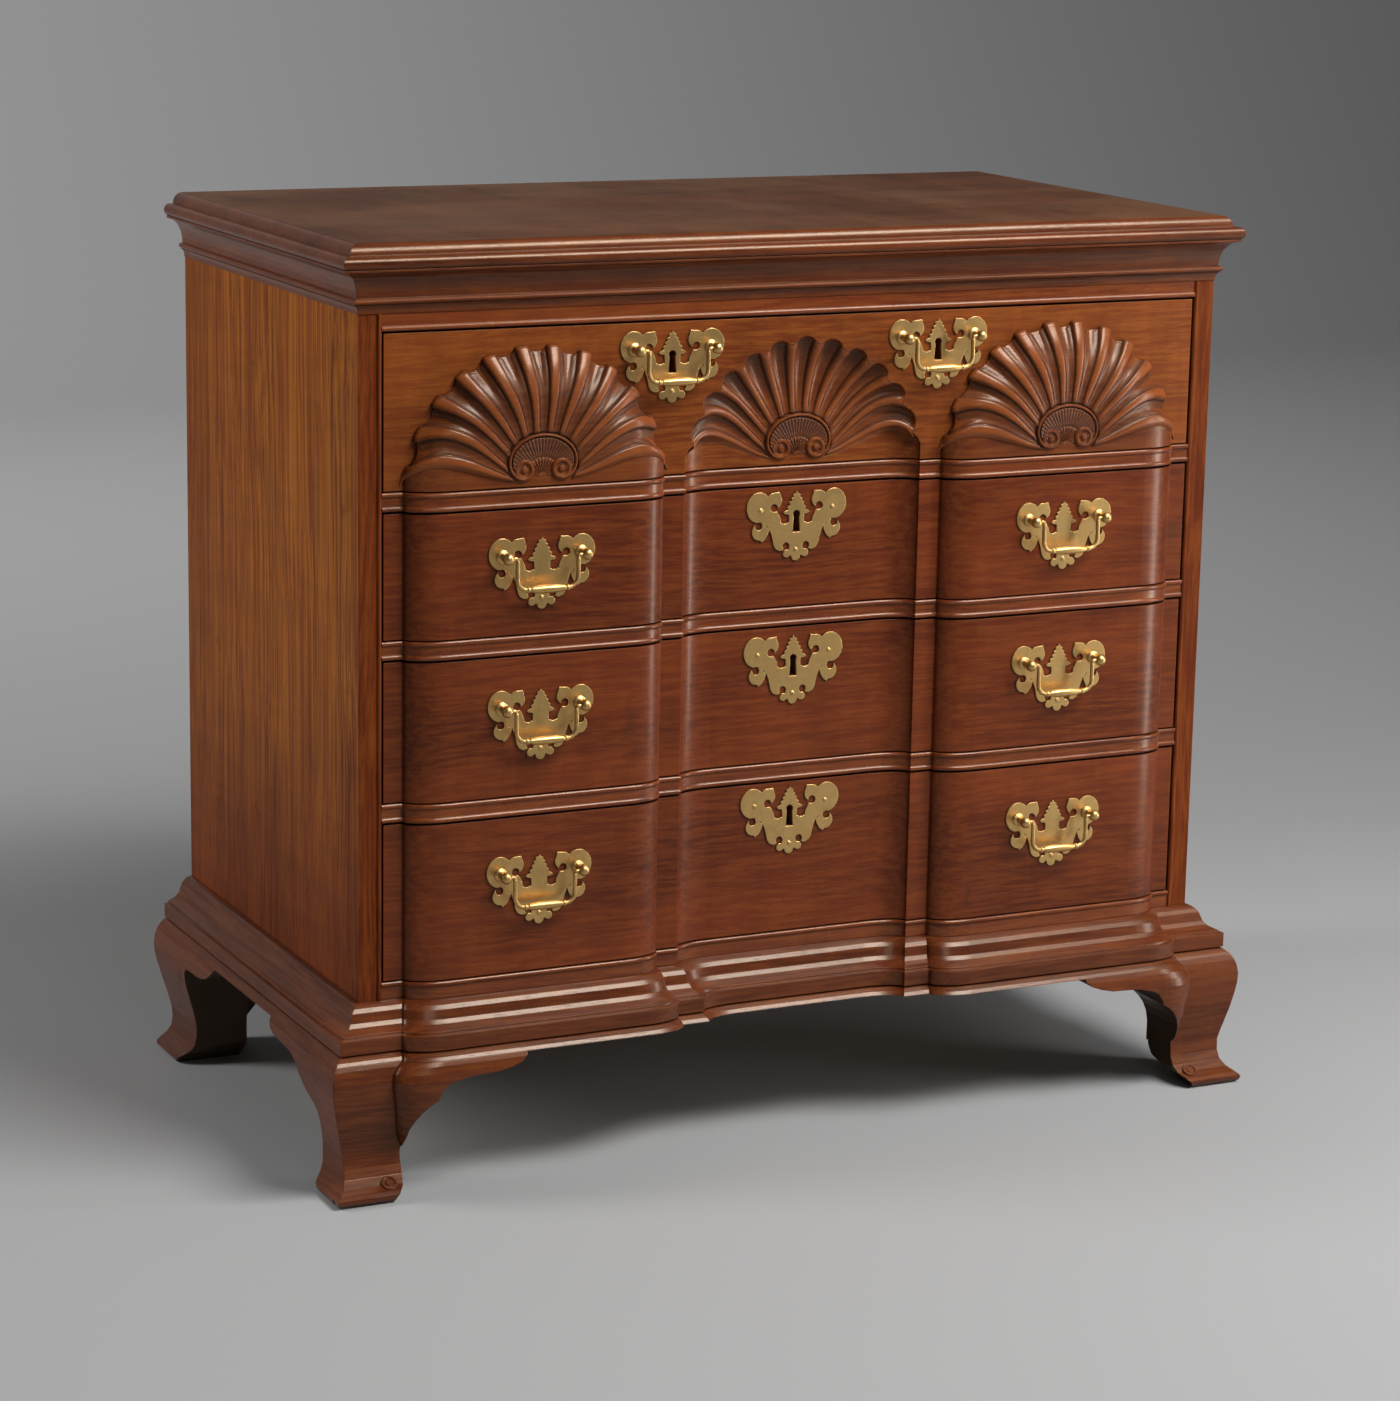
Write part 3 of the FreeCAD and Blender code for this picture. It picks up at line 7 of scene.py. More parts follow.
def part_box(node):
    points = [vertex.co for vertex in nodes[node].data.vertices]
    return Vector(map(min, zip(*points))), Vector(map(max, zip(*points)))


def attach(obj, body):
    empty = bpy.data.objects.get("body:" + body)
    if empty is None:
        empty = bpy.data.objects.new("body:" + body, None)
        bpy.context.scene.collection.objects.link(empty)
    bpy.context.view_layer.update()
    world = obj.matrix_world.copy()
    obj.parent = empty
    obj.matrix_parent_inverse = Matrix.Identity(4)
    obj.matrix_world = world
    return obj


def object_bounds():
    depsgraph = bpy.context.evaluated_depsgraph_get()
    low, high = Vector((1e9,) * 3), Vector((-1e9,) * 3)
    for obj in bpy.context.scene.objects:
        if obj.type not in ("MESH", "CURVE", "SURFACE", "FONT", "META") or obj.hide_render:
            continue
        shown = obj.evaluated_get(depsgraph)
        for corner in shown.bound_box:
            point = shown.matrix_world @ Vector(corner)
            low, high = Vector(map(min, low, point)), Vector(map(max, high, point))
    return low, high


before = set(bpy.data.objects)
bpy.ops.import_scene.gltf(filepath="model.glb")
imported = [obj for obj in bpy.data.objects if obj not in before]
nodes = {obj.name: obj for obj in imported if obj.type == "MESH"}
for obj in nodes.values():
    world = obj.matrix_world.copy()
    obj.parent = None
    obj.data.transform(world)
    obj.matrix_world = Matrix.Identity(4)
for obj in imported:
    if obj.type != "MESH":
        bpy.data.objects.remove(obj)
loadedBox = [list(corner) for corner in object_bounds()]
scene = bpy.context.scene
scene.view_settings.view_transform = "Standard"
print("chest loaded")


# camera: stands to the left of the chest, a little above its top

viewpoint = {
    "place": (-1.6957, -3.4786, 1.2571),
    "turn": 25.96,  # degrees, round to the right
    "down": 12.74,
    "roll": 1.06,
    "lens": 101.84,  # mm, for a frame this wide
    "frameWide": 36,
    "farthest": 50,
}


def addCamera():
    camera = bpy.data.cameras.new("camera")
    camera.lens = viewpoint["lens"]
    camera.sensor_width = viewpoint["frameWide"]
    camera.sensor_fit = "HORIZONTAL"
    camera.clip_end = viewpoint["farthest"]
    eye = bpy.data.objects.new("camera", camera)
    scene.collection.objects.link(eye)
    turn = (Matrix.Rotation(-math.radians(viewpoint["turn"]), 4, "Z")
            @ Matrix.Rotation(math.radians(90 - viewpoint["down"]), 4, "X")
            @ Matrix.Rotation(math.radians(viewpoint["roll"]), 4, "Z"))
    eye.matrix_world = Matrix.Translation(viewpoint["place"]) @ turn
    scene.camera = eye


# studio: soft boxes above, at both sides and on the backdrop, and a pale sweep

lamps = {
    "main": {"at": (1.05, -1.75, 2.85), "aim": (0, -0.2, 0.5), "wide": 1.9, "tall": 0.9, "power": 140},
    "strip": {"at": (1.40, -0.95, 0.62), "aim": (0.3, -0.2, 0.5), "wide": 0.20, "tall": 1.2, "power": 11},
    "left": {"at": (-3.2, 1.0, 1.9), "aim": (0, 0, 0.55), "wide": 1.0, "tall": 1.5, "power": 80},
    "front": {"at": (-0.6, -4.2, 1.9), "aim": (0, 0, 0.5), "wide": 1.2, "tall": 0.8, "power": 12},
    "backdrop": {"at": (-0.4, 2.4, 3.4), "aim": (0.8, 7, 1.6), "wide": 3.0, "tall": 0.5, "power": 170},
}
roomLight = 0.06
sweep = {"wide": 16, "front": -7, "back": 4.5, "radius": 2.5, "steps": 24, "high": 7, "shade": 0.31,
         "rough": 0.7, "gleam": 0.2}


def addLamps():
    for name, lamp in lamps.items():
        light = bpy.data.lights.new(name, "AREA")
        light.shape = "RECTANGLE"
        light.size, light.size_y = lamp["wide"], lamp["tall"]
        light.energy = lamp["power"]
        holder = bpy.data.objects.new(name, light)
        holder.location = lamp["at"]
        aim = Vector(lamp["aim"]) - Vector(lamp["at"])
        holder.rotation_euler = aim.to_track_quat("-Z", "Y").to_euler()
        scene.collection.objects.link(holder)
    room = bpy.data.worlds.new("studio")
    scene.world = room
    room.use_nodes = True
    sky = room.node_tree.nodes["Background"]
    sky.inputs["Color"].default_value = (1, 1, 1, 1)
    sky.inputs["Strength"].default_value = roomLight


def addSweep():
    # a floor that curves up into a wall behind the chest
    half = sweep["wide"] / 2
    bpy.ops.mesh.primitive_plane_add(size=1, location=(0, 0, 0))
    floor = bpy.context.object
    floor.name = "sweep"
    for vertex in floor.data.vertices:
        vertex.co.x = half if vertex.co.x > 0 else -half
        vertex.co.y = sweep["back"] if vertex.co.y > 0 else sweep["front"]
    bpy.ops.object.mode_set(mode="EDIT")
    bpy.ops.mesh.select_mode(type="EDGE")
    bpy.ops.mesh.select_all(action="DESELECT")
    bpy.ops.object.mode_set(mode="OBJECT")
    for edge in floor.data.edges:
        edge.select = all(floor.data.vertices[v].co.y > 0 for v in edge.vertices)
    bpy.ops.object.mode_set(mode="EDIT")
    bpy.ops.mesh.spin(steps=sweep["steps"], angle=math.radians(-90),
                      center=(0, sweep["back"], sweep["radius"]), axis=(1, 0, 0))
    bpy.ops.mesh.extrude_region_move(TRANSFORM_OT_translate={"value": (0, 0, sweep["high"])})
    bpy.ops.object.mode_set(mode="OBJECT")
    bpy.ops.object.shade_smooth()
    paper, tree = newMaterial("sweepPaper")
    shader = tree.nodes["Principled BSDF"]
    shader.inputs["Base Color"].default_value = opaque((sweep["shade"],) * 3)
    shader.inputs["Roughness"].default_value = sweep["rough"]
    shader.inputs["Specular IOR Level"].default_value = sweep["gleam"]
    floor.data.materials.append(paper)


# material and node helpers

def newMaterial(name):
    material = bpy.data.materials.new(name)
    material.use_nodes = True
    return material, material.node_tree


def opaque(colour, gain=1.0):
    return tuple(min(v * gain, 1) for v in colour) + (1,)


def feed(tree, socket, source):
    if isinstance(source, bpy.types.NodeSocket):
        tree.links.new(source, socket)
    else:
        socket.default_value = source


def addNode(tree, kind, settings=None, **inputs):
    # an input goes to the socket of its name, or by number as in0, in1 and so on
    node = tree.nodes.new("ShaderNode" + kind)
    for key, setting in (settings or {}).items():
        setattr(node, key, setting)
    for key, source in inputs.items():
        numbered = key.startswith("in") and key[2:].isdigit()
        feed(tree, node.inputs[int(key[2:]) if numbered else key.replace("_", " ")], source)
    return node


def maths(tree, operation, a, b=0.0):
    return addNode(tree, "Math", {"operation": operation}, in0=a, in1=b).outputs[0]


def vectorMaths(tree, operation, a, b):
    node = addNode(tree, "VectorMath", {"operation": operation}, in0=a, in1=b)
    return node.outputs["Value" if operation == "DOT_PRODUCT" else "Vector"]


def combine(tree, x, y, z):
    return addNode(tree, "CombineXYZ", X=x, Y=y, Z=z).outputs[0]


def separate(tree, vector):
    return addNode(tree, "SeparateXYZ", in0=vector).outputs


def ramp(tree, source, low, high, toLow=0.0, toHigh=1.0):
    # a smooth step from toLow at low to toHigh at high
    node = addNode(tree, "MapRange", {"interpolation_type": "SMOOTHSTEP"}, Value=source, From_Min=low,
                   From_Max=high, To_Min=toLow, To_Max=toHigh)
    return node.outputs[0]


def blendColours(tree, share, a, b):
    # sockets 6 and 7 are the two colours of a Mix node, and output 2 is the colour it gives
    node = addNode(tree, "Mix", {"data_type": "RGBA"}, in0=share, in6=a, in7=b)
    return node.outputs[2]


def noise(tree, vector, scale, detail=3.0, rough=0.5, twist=0.0):
    node = addNode(tree, "TexNoise", Vector=vector, Scale=scale, Detail=detail, Roughness=rough,
                   Distortion=twist)
    return node.outputs["Fac"]


def stretch(tree, vector, by):
    return addNode(tree, "Mapping", Vector=vector, Scale=by).outputs[0]


def readCreaseShading(tree):
    # above 0 in the crevices, as painted shade, and below 0 on the crests of the carved skins, as a painted
    # highlight with rubbed wear; 0 elsewhere
    return addNode(tree, "Attribute", {"attribute_name": "crease"}).outputs["Fac"]


def startGroup(name, inputs, outputs):
    group = bpy.data.node_groups.new(name, "ShaderNodeTree")
    for label, kind, default in inputs:
        socket = group.interface.new_socket(label, in_out="INPUT", socket_type="NodeSocket" + kind)
        if default is not None:
            socket.default_value = default
    for label, kind in outputs:
        group.interface.new_socket(label, in_out="OUTPUT", socket_type="NodeSocket" + kind)
    given = group.nodes.new("NodeGroupInput").outputs
    return group, given, group.nodes.new("NodeGroupOutput").inputs


addCamera()
addLamps()
addSweep()
print("camera, lamps and sweep placed")


# shared effects; a scale is how many marks fit in a metre, along the grain and across it

grainScale = {
    "drift": (1.6, 6, 6),
    "band": 2.2,
    "fleck": (18, 240.0),
    "ripple": (38, 5, 5),
    "pore": (95, 1500, 1500),
}
grainDrift = 0.05  # metres that the grain wanders
patinaScale = {"patch": 42.0, "mark": 9.0}
roundedEdge = 0.0011  # radius of a sharp arris as it catches the light


def makeGrainGroup():
    # figured wood: the grain runs along X of the vector it is given
    tree, given, out = startGroup("woodGrain", [
        ("Along", "Vector", None), ("Dark", "Color", (0.03, 0.008, 0.004, 1)),
        ("Middle", "Color", (0.12, 0.03, 0.01, 1)), ("Light", "Color", (0.25, 0.08, 0.02, 1)),
        ("Bands", "Float", 14.0), ("Stripe", "Float", 0.6), ("Ripple", "Float", 0.25),
        ("Pores", "Float", 0.3), ("Short", "Float", 1.0)],
        [("Color", "Color"), ("Height", "Float"), ("Gloss", "Float")])
    along, short, across = given["Along"], given["Short"], given["Bands"]
    drift = noise(tree, stretch(tree, along, grainScale["drift"]), 1.0, 2.0)
    shift = vectorMaths(tree, "MULTIPLY", combine(tree, 0.0, drift, drift), (0.0, grainDrift, grainDrift))
    bent = vectorMaths(tree, "ADD", along, shift)
    bandScale = combine(tree, maths(tree, "MULTIPLY", short, grainScale["band"]), across, across)
    bandVector = vectorMaths(tree, "MULTIPLY", bent, bandScale)
    bands = ramp(tree, noise(tree, bandVector, 1.0, 4.0, 0.55), 0.30, 0.70)
    fleckAlong, fleckAcross = grainScale["fleck"]
    fleckScale = combine(tree, maths(tree, "MULTIPLY", short, fleckAlong), fleckAcross, fleckAcross)
    fleckVector = vectorMaths(tree, "MULTIPLY", bent, fleckScale)
    stripes = ramp(tree, noise(tree, fleckVector, 1.0, 5.0, 0.68), 0.38, 0.64)
    ripple = noise(tree, stretch(tree, bent, grainScale["ripple"]), 1.0, 3.0, 0.55, 0.4)
    pores = ramp(tree, noise(tree, stretch(tree, bent, grainScale["pore"]), 1.0, 1.0, 0.4), 0.60, 0.72)
    body = blendColours(tree, bands, given["Dark"], given["Middle"])
    body = blendColours(tree, maths(tree, "MULTIPLY", stripes, given["Stripe"]), body, given["Light"])
    waves = maths(tree, "MULTIPLY", ramp(tree, ripple, 0.35, 0.65, -1, 1), given["Ripple"])
    lift = addNode(tree, "HueSaturation", Color=body, Value=maths(tree, "ADD", waves, 1.0)).outputs[0]
    poreShade = maths(tree, "MULTIPLY", pores, given["Pores"])
    feed(tree, out["Color"], blendColours(tree, poreShade, lift, given["Dark"]))
    feed(tree, out["Height"], maths(tree, "SUBTRACT", maths(tree, "MULTIPLY", stripes, 0.35), pores))
    feed(tree, out["Gloss"], maths(tree, "MULTIPLY", pores, 0.10))
    return tree


def makePatinaAndShadingGroup():
    # painted shade mixed with dirt in the crevices, a painted highlight with rubbed wear on the arrises, and
    # old scuffs
    tree, given, out = startGroup("patinaAndShading", [
        ("Color", "Color", None), ("Place", "Vector", None), ("Crease", "Float", 0.0),
        ("Dirt", "Color", (0.012, 0.006, 0.004, 1)), ("Rubbed", "Color", (0.3, 0.1, 0.03, 1)),
        ("Reach", "Float", 0.012), ("Depth", "Float", 0.8), ("Wear", "Float", 0.35)],
        [("Color", "Color"), ("Dull", "Float"), ("Normal", "Vector")])
    # painted shade, mixed with dirt: darker where little open space surrounds a point
    openness = addNode(tree, "AmbientOcclusion", {"samples": 6}, Distance=given["Reach"]).outputs["AO"]
    hollow = ramp(tree, openness, 0.75, 0.15)
    hollow = maths(tree, "MAXIMUM", maths(tree, "MULTIPLY", hollow, given["Depth"]), given["Crease"])
    soft = addNode(tree, "Bevel", {"samples": 4}, Radius=roundedEdge).outputs[0]
    flat = addNode(tree, "NewGeometry").outputs["Normal"]
    # a painted highlight, with rubbed wear, on open arrises
    arris = ramp(tree, vectorMaths(tree, "DOT_PRODUCT", soft, flat), 0.985, 0.86)
    exposed = ramp(tree, openness, 0.55, 0.9)
    patches = ramp(tree, noise(tree, given["Place"], patinaScale["patch"], 4.0, 0.6), 0.38, 0.62)
    rubbedAndHighlight = maths(tree, "MULTIPLY", maths(tree, "MULTIPLY", arris, exposed), patches)
    rubbedAndHighlight = maths(tree, "MULTIPLY", rubbedAndHighlight, given["Wear"])
    marks = ramp(tree, noise(tree, given["Place"], patinaScale["mark"], 5.0, 0.7), 0.60, 0.72)
    colour = blendColours(tree, rubbedAndHighlight, given["Color"], given["Rubbed"])
    colour = blendColours(tree, maths(tree, "MULTIPLY", marks, 0.35), colour, given["Dirt"])
    feed(tree, out["Color"], blendColours(tree, hollow, colour, given["Dirt"]))
    feed(tree, out["Dull"], maths(tree, "ADD", maths(tree, "MULTIPLY", hollow, 0.25),
                                  maths(tree, "MULTIPLY", marks, 0.12)))
    feed(tree, out["Normal"], soft)
    return tree


grainGroup = makeGrainGroup()
patinaAndShadingGroup = makePatinaAndShadingGroup()


# woods: colours as linear values, then the figure and the gloss

woods = {
    "mahoganyFront": {"dark": (0.062, 0.0105, 0.0038), "middle": (0.115, 0.0210, 0.0060),
                      "light": (0.230, 0.0570, 0.0105), "bands": 13.0, "stripe": 0.34, "ripple": 0.07,
                      "pores": 0.45, "short": 1.0, "rough": 0.30, "gleam": 0.22, "coat": 0.10},
    # drawer 1: lighter and more golden, partly its own tone and partly painted light falling from above
    "mahoganyGoldenLit": {"dark": (0.095, 0.0190, 0.0050), "middle": (0.170, 0.0400, 0.0080),
                       "light": (0.290, 0.0880, 0.0140), "bands": 13.0, "stripe": 0.36, "ripple": 0.07,
                       "pores": 0.45, "short": 1.0, "rough": 0.30, "gleam": 0.22, "coat": 0.10},
    "mahoganyBeaded": {"dark": (0.080, 0.0140, 0.0045), "middle": (0.130, 0.0260, 0.0070),
                       "light": (0.240, 0.0640, 0.0110), "bands": 20.0, "stripe": 0.40, "ripple": 0.05,
                       "pores": 0.40, "short": 0.7, "rough": 0.27, "gleam": 0.36, "coat": 0.16},
    "mahoganySide": {"dark": (0.100, 0.0180, 0.0035), "middle": (0.180, 0.0400, 0.0060),
                     "light": (0.370, 0.1250, 0.0100), "bands": 34.0, "stripe": 0.70, "ripple": 0.05,
                     "pores": 0.35, "short": 0.14, "rough": 0.40, "gleam": 0.06, "coat": 0.0},
    "mahoganyTop": {"dark": (0.034, 0.0105, 0.0050), "middle": (0.068, 0.0220, 0.0090),
                    "light": (0.125, 0.0450, 0.0150), "bands": 9.0, "stripe": 0.45, "ripple": 0.12,
                    "pores": 0.35, "short": 0.5, "rough": 0.46, "gleam": 0.08, "coat": 0.0},
    "mahoganyMoulding": {"dark": (0.048, 0.0090, 0.0035), "middle": (0.094, 0.0190, 0.0055),
                         "light": (0.180, 0.0480, 0.0095), "bands": 22.0, "stripe": 0.42, "ripple": 0.06,
                         "pores": 0.40, "short": 0.7, "rough": 0.30, "gleam": 0.32, "coat": 0.12},
    "mahoganyCarved": {"dark": (0.075, 0.0145, 0.0045), "middle": (0.125, 0.0280, 0.0070),
                       "light": (0.215, 0.0620, 0.0110), "bands": 20.0, "stripe": 0.35, "ripple": 0.06,
                       "pores": 0.25, "short": 0.8, "rough": 0.32, "gleam": 0.30, "coat": 0.10},
    "poplar": {"dark": (0.22, 0.14, 0.065), "middle": (0.36, 0.25, 0.125), "light": (0.46, 0.34, 0.18),
               "bands": 12.0, "stripe": 0.5, "ripple": 0.05, "pores": 0.2, "short": 0.3, "rough": 0.62,
               "gleam": 0.3, "coat": 0.0},
    "pine": {"dark": (0.20, 0.115, 0.045), "middle": (0.34, 0.215, 0.095), "light": (0.43, 0.29, 0.14),
             "bands": 20.0, "stripe": 0.5, "ripple": 0.03, "pores": 0.1, "short": 0.2, "rough": 0.66,
             "gleam": 0.3, "coat": 0.0},
}
# wear: how far the arrises are lightened, by rubbed wear and a painted highlight; reach: the span of painted
# shade in crevices
polish = {"tint": (1.0, 0.78, 0.56), "coatRough": 0.16, "bump": 0.12, "bumpHigh": 0.0004, "wear": 0.5,
          "reach": 0.005}
# unfinished wood on faces that look inwards, darkened further as painted shade
rawWoodInShade = (0.034, 0.018, 0.010)
# a painted highlight, with rubbed wear, on the crests of the carved ribs
crestHighlightColour = (0.245, 0.0620, 0.0120)
wornTop = {"colour": (0.150, 0.078, 0.040), "patch": 5.0, "share": 0.35}
edgePolish = {"gleam": 0.42, "lostOnTop": 0.28, "smoother": 0.18}
redSide = {"low": (0.50, 0.16), "lowShare": 0.9, "back": (0.10, 0.27), "backShare": 0.45}

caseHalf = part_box("side_right")[1].x
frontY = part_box("drawer_1_front")[0].y
topHigh = loadedBox[1][2]


def setMetres(tree, order, offset):
    # the place on the piece, and the same with its axes in the order along, across, through
    place = addNode(tree, "TexCoord").outputs["Object"]
    axes = separate(tree, place)
    turned = combine(tree, *[axes[number] for number in order])
    return place, axes, vectorMaths(tree, "ADD", turned, offset)


def placeGrain(tree, wood, vector):
    colours = {key.capitalize(): opaque(wood[key]) for key in ("dark", "middle", "light")}
    figure = {key.capitalize(): wood[key] for key in ("bands", "stripe", "ripple", "pores", "short")}
    return addNode(tree, "Group", {"node_tree": grainGroup}, Along=vector, **colours, **figure).outputs


def finishWood(tree, wood, colour, grain, place, depth=0.7):
    # painted shade in the crevices and a painted highlight on the arrises, with dirt, wear and scuffs
    patinaAndShading = addNode(tree, "Group", {"node_tree": patinaAndShadingGroup}, Color=colour, Place=place,
                     Crease=readCreaseShading(tree), Rubbed=opaque(wood["light"], 1.25), Depth=depth,
                     Wear=polish["wear"], Reach=polish["reach"]).outputs
    bump = addNode(tree, "Bump", Strength=polish["bump"], Distance=polish["bumpHigh"],
                   Height=grain["Height"], Normal=patinaAndShading["Normal"])
    rough = maths(tree, "ADD", maths(tree, "ADD", grain["Gloss"], wood["rough"]), patinaAndShading["Dull"])
    shader = tree.nodes["Principled BSDF"]
    for name, source in (("Base Color", patinaAndShading["Color"]), ("Roughness", rough), ("Normal", bump.outputs[0]),
                         ("Specular IOR Level", wood["gleam"]), ("Specular Tint", opaque(polish["tint"])),
                         ("Coat Weight", wood["coat"]), ("Coat Roughness", polish["coatRough"])):
        feed(tree, shader.inputs[name], source)


def makeWood(name, kind, order=(0, 2, 1), offset=(0, 0, 0), crests=None, depth=0.7):
    # crests is the colour of a painted highlight, with rubbed wear, on the places that the carved skins mark
    # below 0
    wood = woods[kind]
    material, tree = newMaterial(name)
    place, axes, along = setMetres(tree, order, offset)
    grain = placeGrain(tree, wood, along)
    colour = grain["Color"]
    if crests:
        colour = blendColours(tree, ramp(tree, readCreaseShading(tree), 0, -1), colour, opaque(crests))
    finishWood(tree, wood, colour, grain, place, depth)
    return material


def makeMoulding(name, offset, inwardShade):
    # Grain along X on faces to the front, along Y on faces to the sides. With a third value, faces that
    # look inwards are dark unfinished wood under painted shade: 1 keeps the finish on the front, 0 doesn't.
    wood = woods["mahoganyMoulding"]
    material, tree = newMaterial(name)
    place, axes, across = setMetres(tree, (0, 2, 1), offset)
    deep = combine(tree, axes[1], axes[2], axes[0])
    facing = separate(tree, addNode(tree, "TexCoord").outputs["Normal"])
    sideways = maths(tree, "GREATER_THAN", maths(tree, "ABSOLUTE", facing[0]),
                     maths(tree, "ADD", maths(tree, "ABSOLUTE", facing[1]), 0.3))
    beyond = maths(tree, "GREATER_THAN", maths(tree, "ABSOLUTE", axes[0]), caseHalf - 0.002)
    pick = maths(tree, "MULTIPLY", sideways, beyond)
    # sockets 4 and 5 are the two vectors of a Mix node, and output 1 is the vector it gives
    vector = addNode(tree, "Mix", {"data_type": "VECTOR"}, in0=pick, in4=across, in5=deep).outputs[1]
    grain = placeGrain(tree, wood, vector)
    colour = grain["Color"]
    if inwardShade is not None:
        outwards = maths(tree, "MULTIPLY", facing[0], maths(tree, "SIGN", axes[0]))
        frontwards = maths(tree, "MULTIPLY", facing[1], -inwardShade)
        seen = ramp(tree, maths(tree, "MAXIMUM", outwards, frontwards), 0.04, 0.22)
        colour = blendColours(tree, seen, opaque(rawWoodInShade), colour)
    finishWood(tree, wood, colour, grain, place)
    return material


def makeSideWood():
    # upright ribbon grain, redder and darker to the foot and the back, with a red front edge
    wood = woods["mahoganySide"]
    material, tree = newMaterial("mahoganySideBoard")
    place, axes, upright = setMetres(tree, (2, 1, 0), (0.3, 0.2, 0))
    grain = placeGrain(tree, wood, upright)
    redGrain = placeGrain(tree, woods["mahoganyFront"], upright)
    edgeGrain = placeGrain(tree, woods["mahoganyBeaded"], upright)
    low = maths(tree, "MULTIPLY", ramp(tree, axes[2], *redSide["low"]), redSide["lowShare"])
    back = maths(tree, "MULTIPLY", ramp(tree, axes[1], *redSide["back"]), redSide["backShare"])
    darker = blendColours(tree, maths(tree, "MAXIMUM", low, back), grain["Color"], redGrain["Color"])
    edge = ramp(tree, axes[1], frontY + 0.0014, frontY + 0.0007)
    colour = blendColours(tree, edge, darker, edgeGrain["Color"])
    finishWood(tree, wood, colour, grain, place)
    return material


def makeTopWood():
    # the flat top is worn and brown, its moulded edges are red and polished
    wood = woods["mahoganyTop"]
    material, tree = newMaterial("mahoganyTopBoard")
    place, axes, along = setMetres(tree, (0, 1, 2), (0.5, 0.33, 0))
    grain = placeGrain(tree, wood, along)
    edgeGrain = placeGrain(tree, woods["mahoganyMoulding"], along)
    worn = ramp(tree, noise(tree, place, wornTop["patch"], 4.0, 0.6), 0.35, 0.65)
    flatTop = blendColours(tree, maths(tree, "MULTIPLY", worn, wornTop["share"]), grain["Color"],
                           opaque(wornTop["colour"]))
    top = ramp(tree, axes[2], topHigh - 0.0008, topHigh - 0.0002)
    finishWood(tree, wood, blendColours(tree, top, edgeGrain["Color"], flatTop), grain, place)
    shader = tree.nodes["Principled BSDF"]
    gleam = maths(tree, "SUBTRACT", edgePolish["gleam"],
                  maths(tree, "MULTIPLY", top, edgePolish["lostOnTop"]))
    feed(tree, shader.inputs["Specular IOR Level"], gleam)
    rough = shader.inputs["Roughness"].links[0].from_socket
    smoother = maths(tree, "MULTIPLY", maths(tree, "SUBTRACT", 1.0, top), edgePolish["smoother"])
    feed(tree, shader.inputs["Roughness"], maths(tree, "SUBTRACT", rough, smoother))
    return material


# metals: clouded by tarnish, dark in their crevices with tarnish and painted shade, and lighter on their
# arrises with wear and a painted highlight

metals = {
    "antiqueBrass": {"colour": (0.62, 0.395, 0.15), "dirt": (0.26, 0.15, 0.048), "rough": 0.34},
    "lockIron": {"colour": (0.16, 0.15, 0.14), "dirt": (0.06, 0.045, 0.035), "rough": 0.45},
}
# depth and wear: how dark the crevices and how light the arrises are, with painted shade and a painted
# highlight besides tarnish and wear
tarnish = {"cloud": 60.0, "speck": 900.0, "share": 0.35, "dull": 0.10, "bump": 0.08, "bumpHigh": 0.0002,
           "reach": 0.004, "depth": 0.55, "wear": 0.6}


def makeMetal(name):
    metal = metals[name]
    material, tree = newMaterial(name)
    place = addNode(tree, "TexCoord").outputs["Object"]
    clouds = ramp(tree, noise(tree, place, tarnish["cloud"], 4.0, 0.6), 0.35, 0.7)
    specks = ramp(tree, noise(tree, place, tarnish["speck"], 2.0, 0.5), 0.35, 0.75)
    tarnished = blendColours(tree, maths(tree, "MULTIPLY", clouds, tarnish["share"]),
                             opaque(metal["colour"]), opaque(metal["dirt"]))
    patinaAndShading = addNode(tree, "Group", {"node_tree": patinaAndShadingGroup}, Color=tarnished, Place=place,
                     Dirt=opaque(metal["dirt"], 0.25), Rubbed=opaque(metal["colour"], 1.15),
                     Reach=tarnish["reach"], Depth=tarnish["depth"], Wear=tarnish["wear"]).outputs
    bump = addNode(tree, "Bump", Strength=tarnish["bump"], Distance=tarnish["bumpHigh"], Height=specks,
                   Normal=patinaAndShading["Normal"])
    rough = maths(tree, "ADD", maths(tree, "MULTIPLY", clouds, tarnish["dull"]),
                  maths(tree, "ADD", metal["rough"], patinaAndShading["Dull"]))
    shader = tree.nodes["Principled BSDF"]
    for socket, source in (("Base Color", patinaAndShading["Color"]), ("Metallic", 1.0), ("Roughness", rough),
                           ("Normal", bump.outputs[0])):
        feed(tree, shader.inputs[socket], source)
    return material


def paint(material, *names):
    for name in names:
        for place in nodes[name].material_slots:
            place.material = material


drawers = (1, 2, 3, 4)
for n in drawers:
    front = makeWood("mahoganyDrawer%d" % n, "mahoganyGoldenLit" if n == 1 else "mahoganyFront",
                     offset=(0.7 * n, 0.37 * n, 0.1 * n))
    paint(front, "drawer_%d_front" % n)
paint(makeWood("mahoganyRails", "mahoganyBeaded", offset=(3.1, 0.2, 0)),
      "top_rail", "divider_1", "divider_2", "divider_3", "bottom_rail")
for name, offset, inwardShade, painted in (
        ("mahoganyMouldings", (0.4, 0.9, 0), None, ("cornice_moulding", "base_moulding")),
        ("mahoganyFrontFeet", (1.4, 0.2, 0), 1, ("foot_front_left", "foot_front_right")),
        ("mahoganyRearFeet", (2.4, 0.6, 0), 0, ("foot_rear_left", "foot_rear_right"))):
    paint(makeMoulding(name, offset, inwardShade), *painted)
paint(makeSideWood(), "side_left", "side_right")
paint(makeTopWood(), "top_board")
carved = makeWood("mahoganyCarving", "mahoganyCarved", offset=(1.4, 0.37, 0.1), crests=crestHighlightColour, depth=0.6)
paint(carved, "drawer_1_shells")
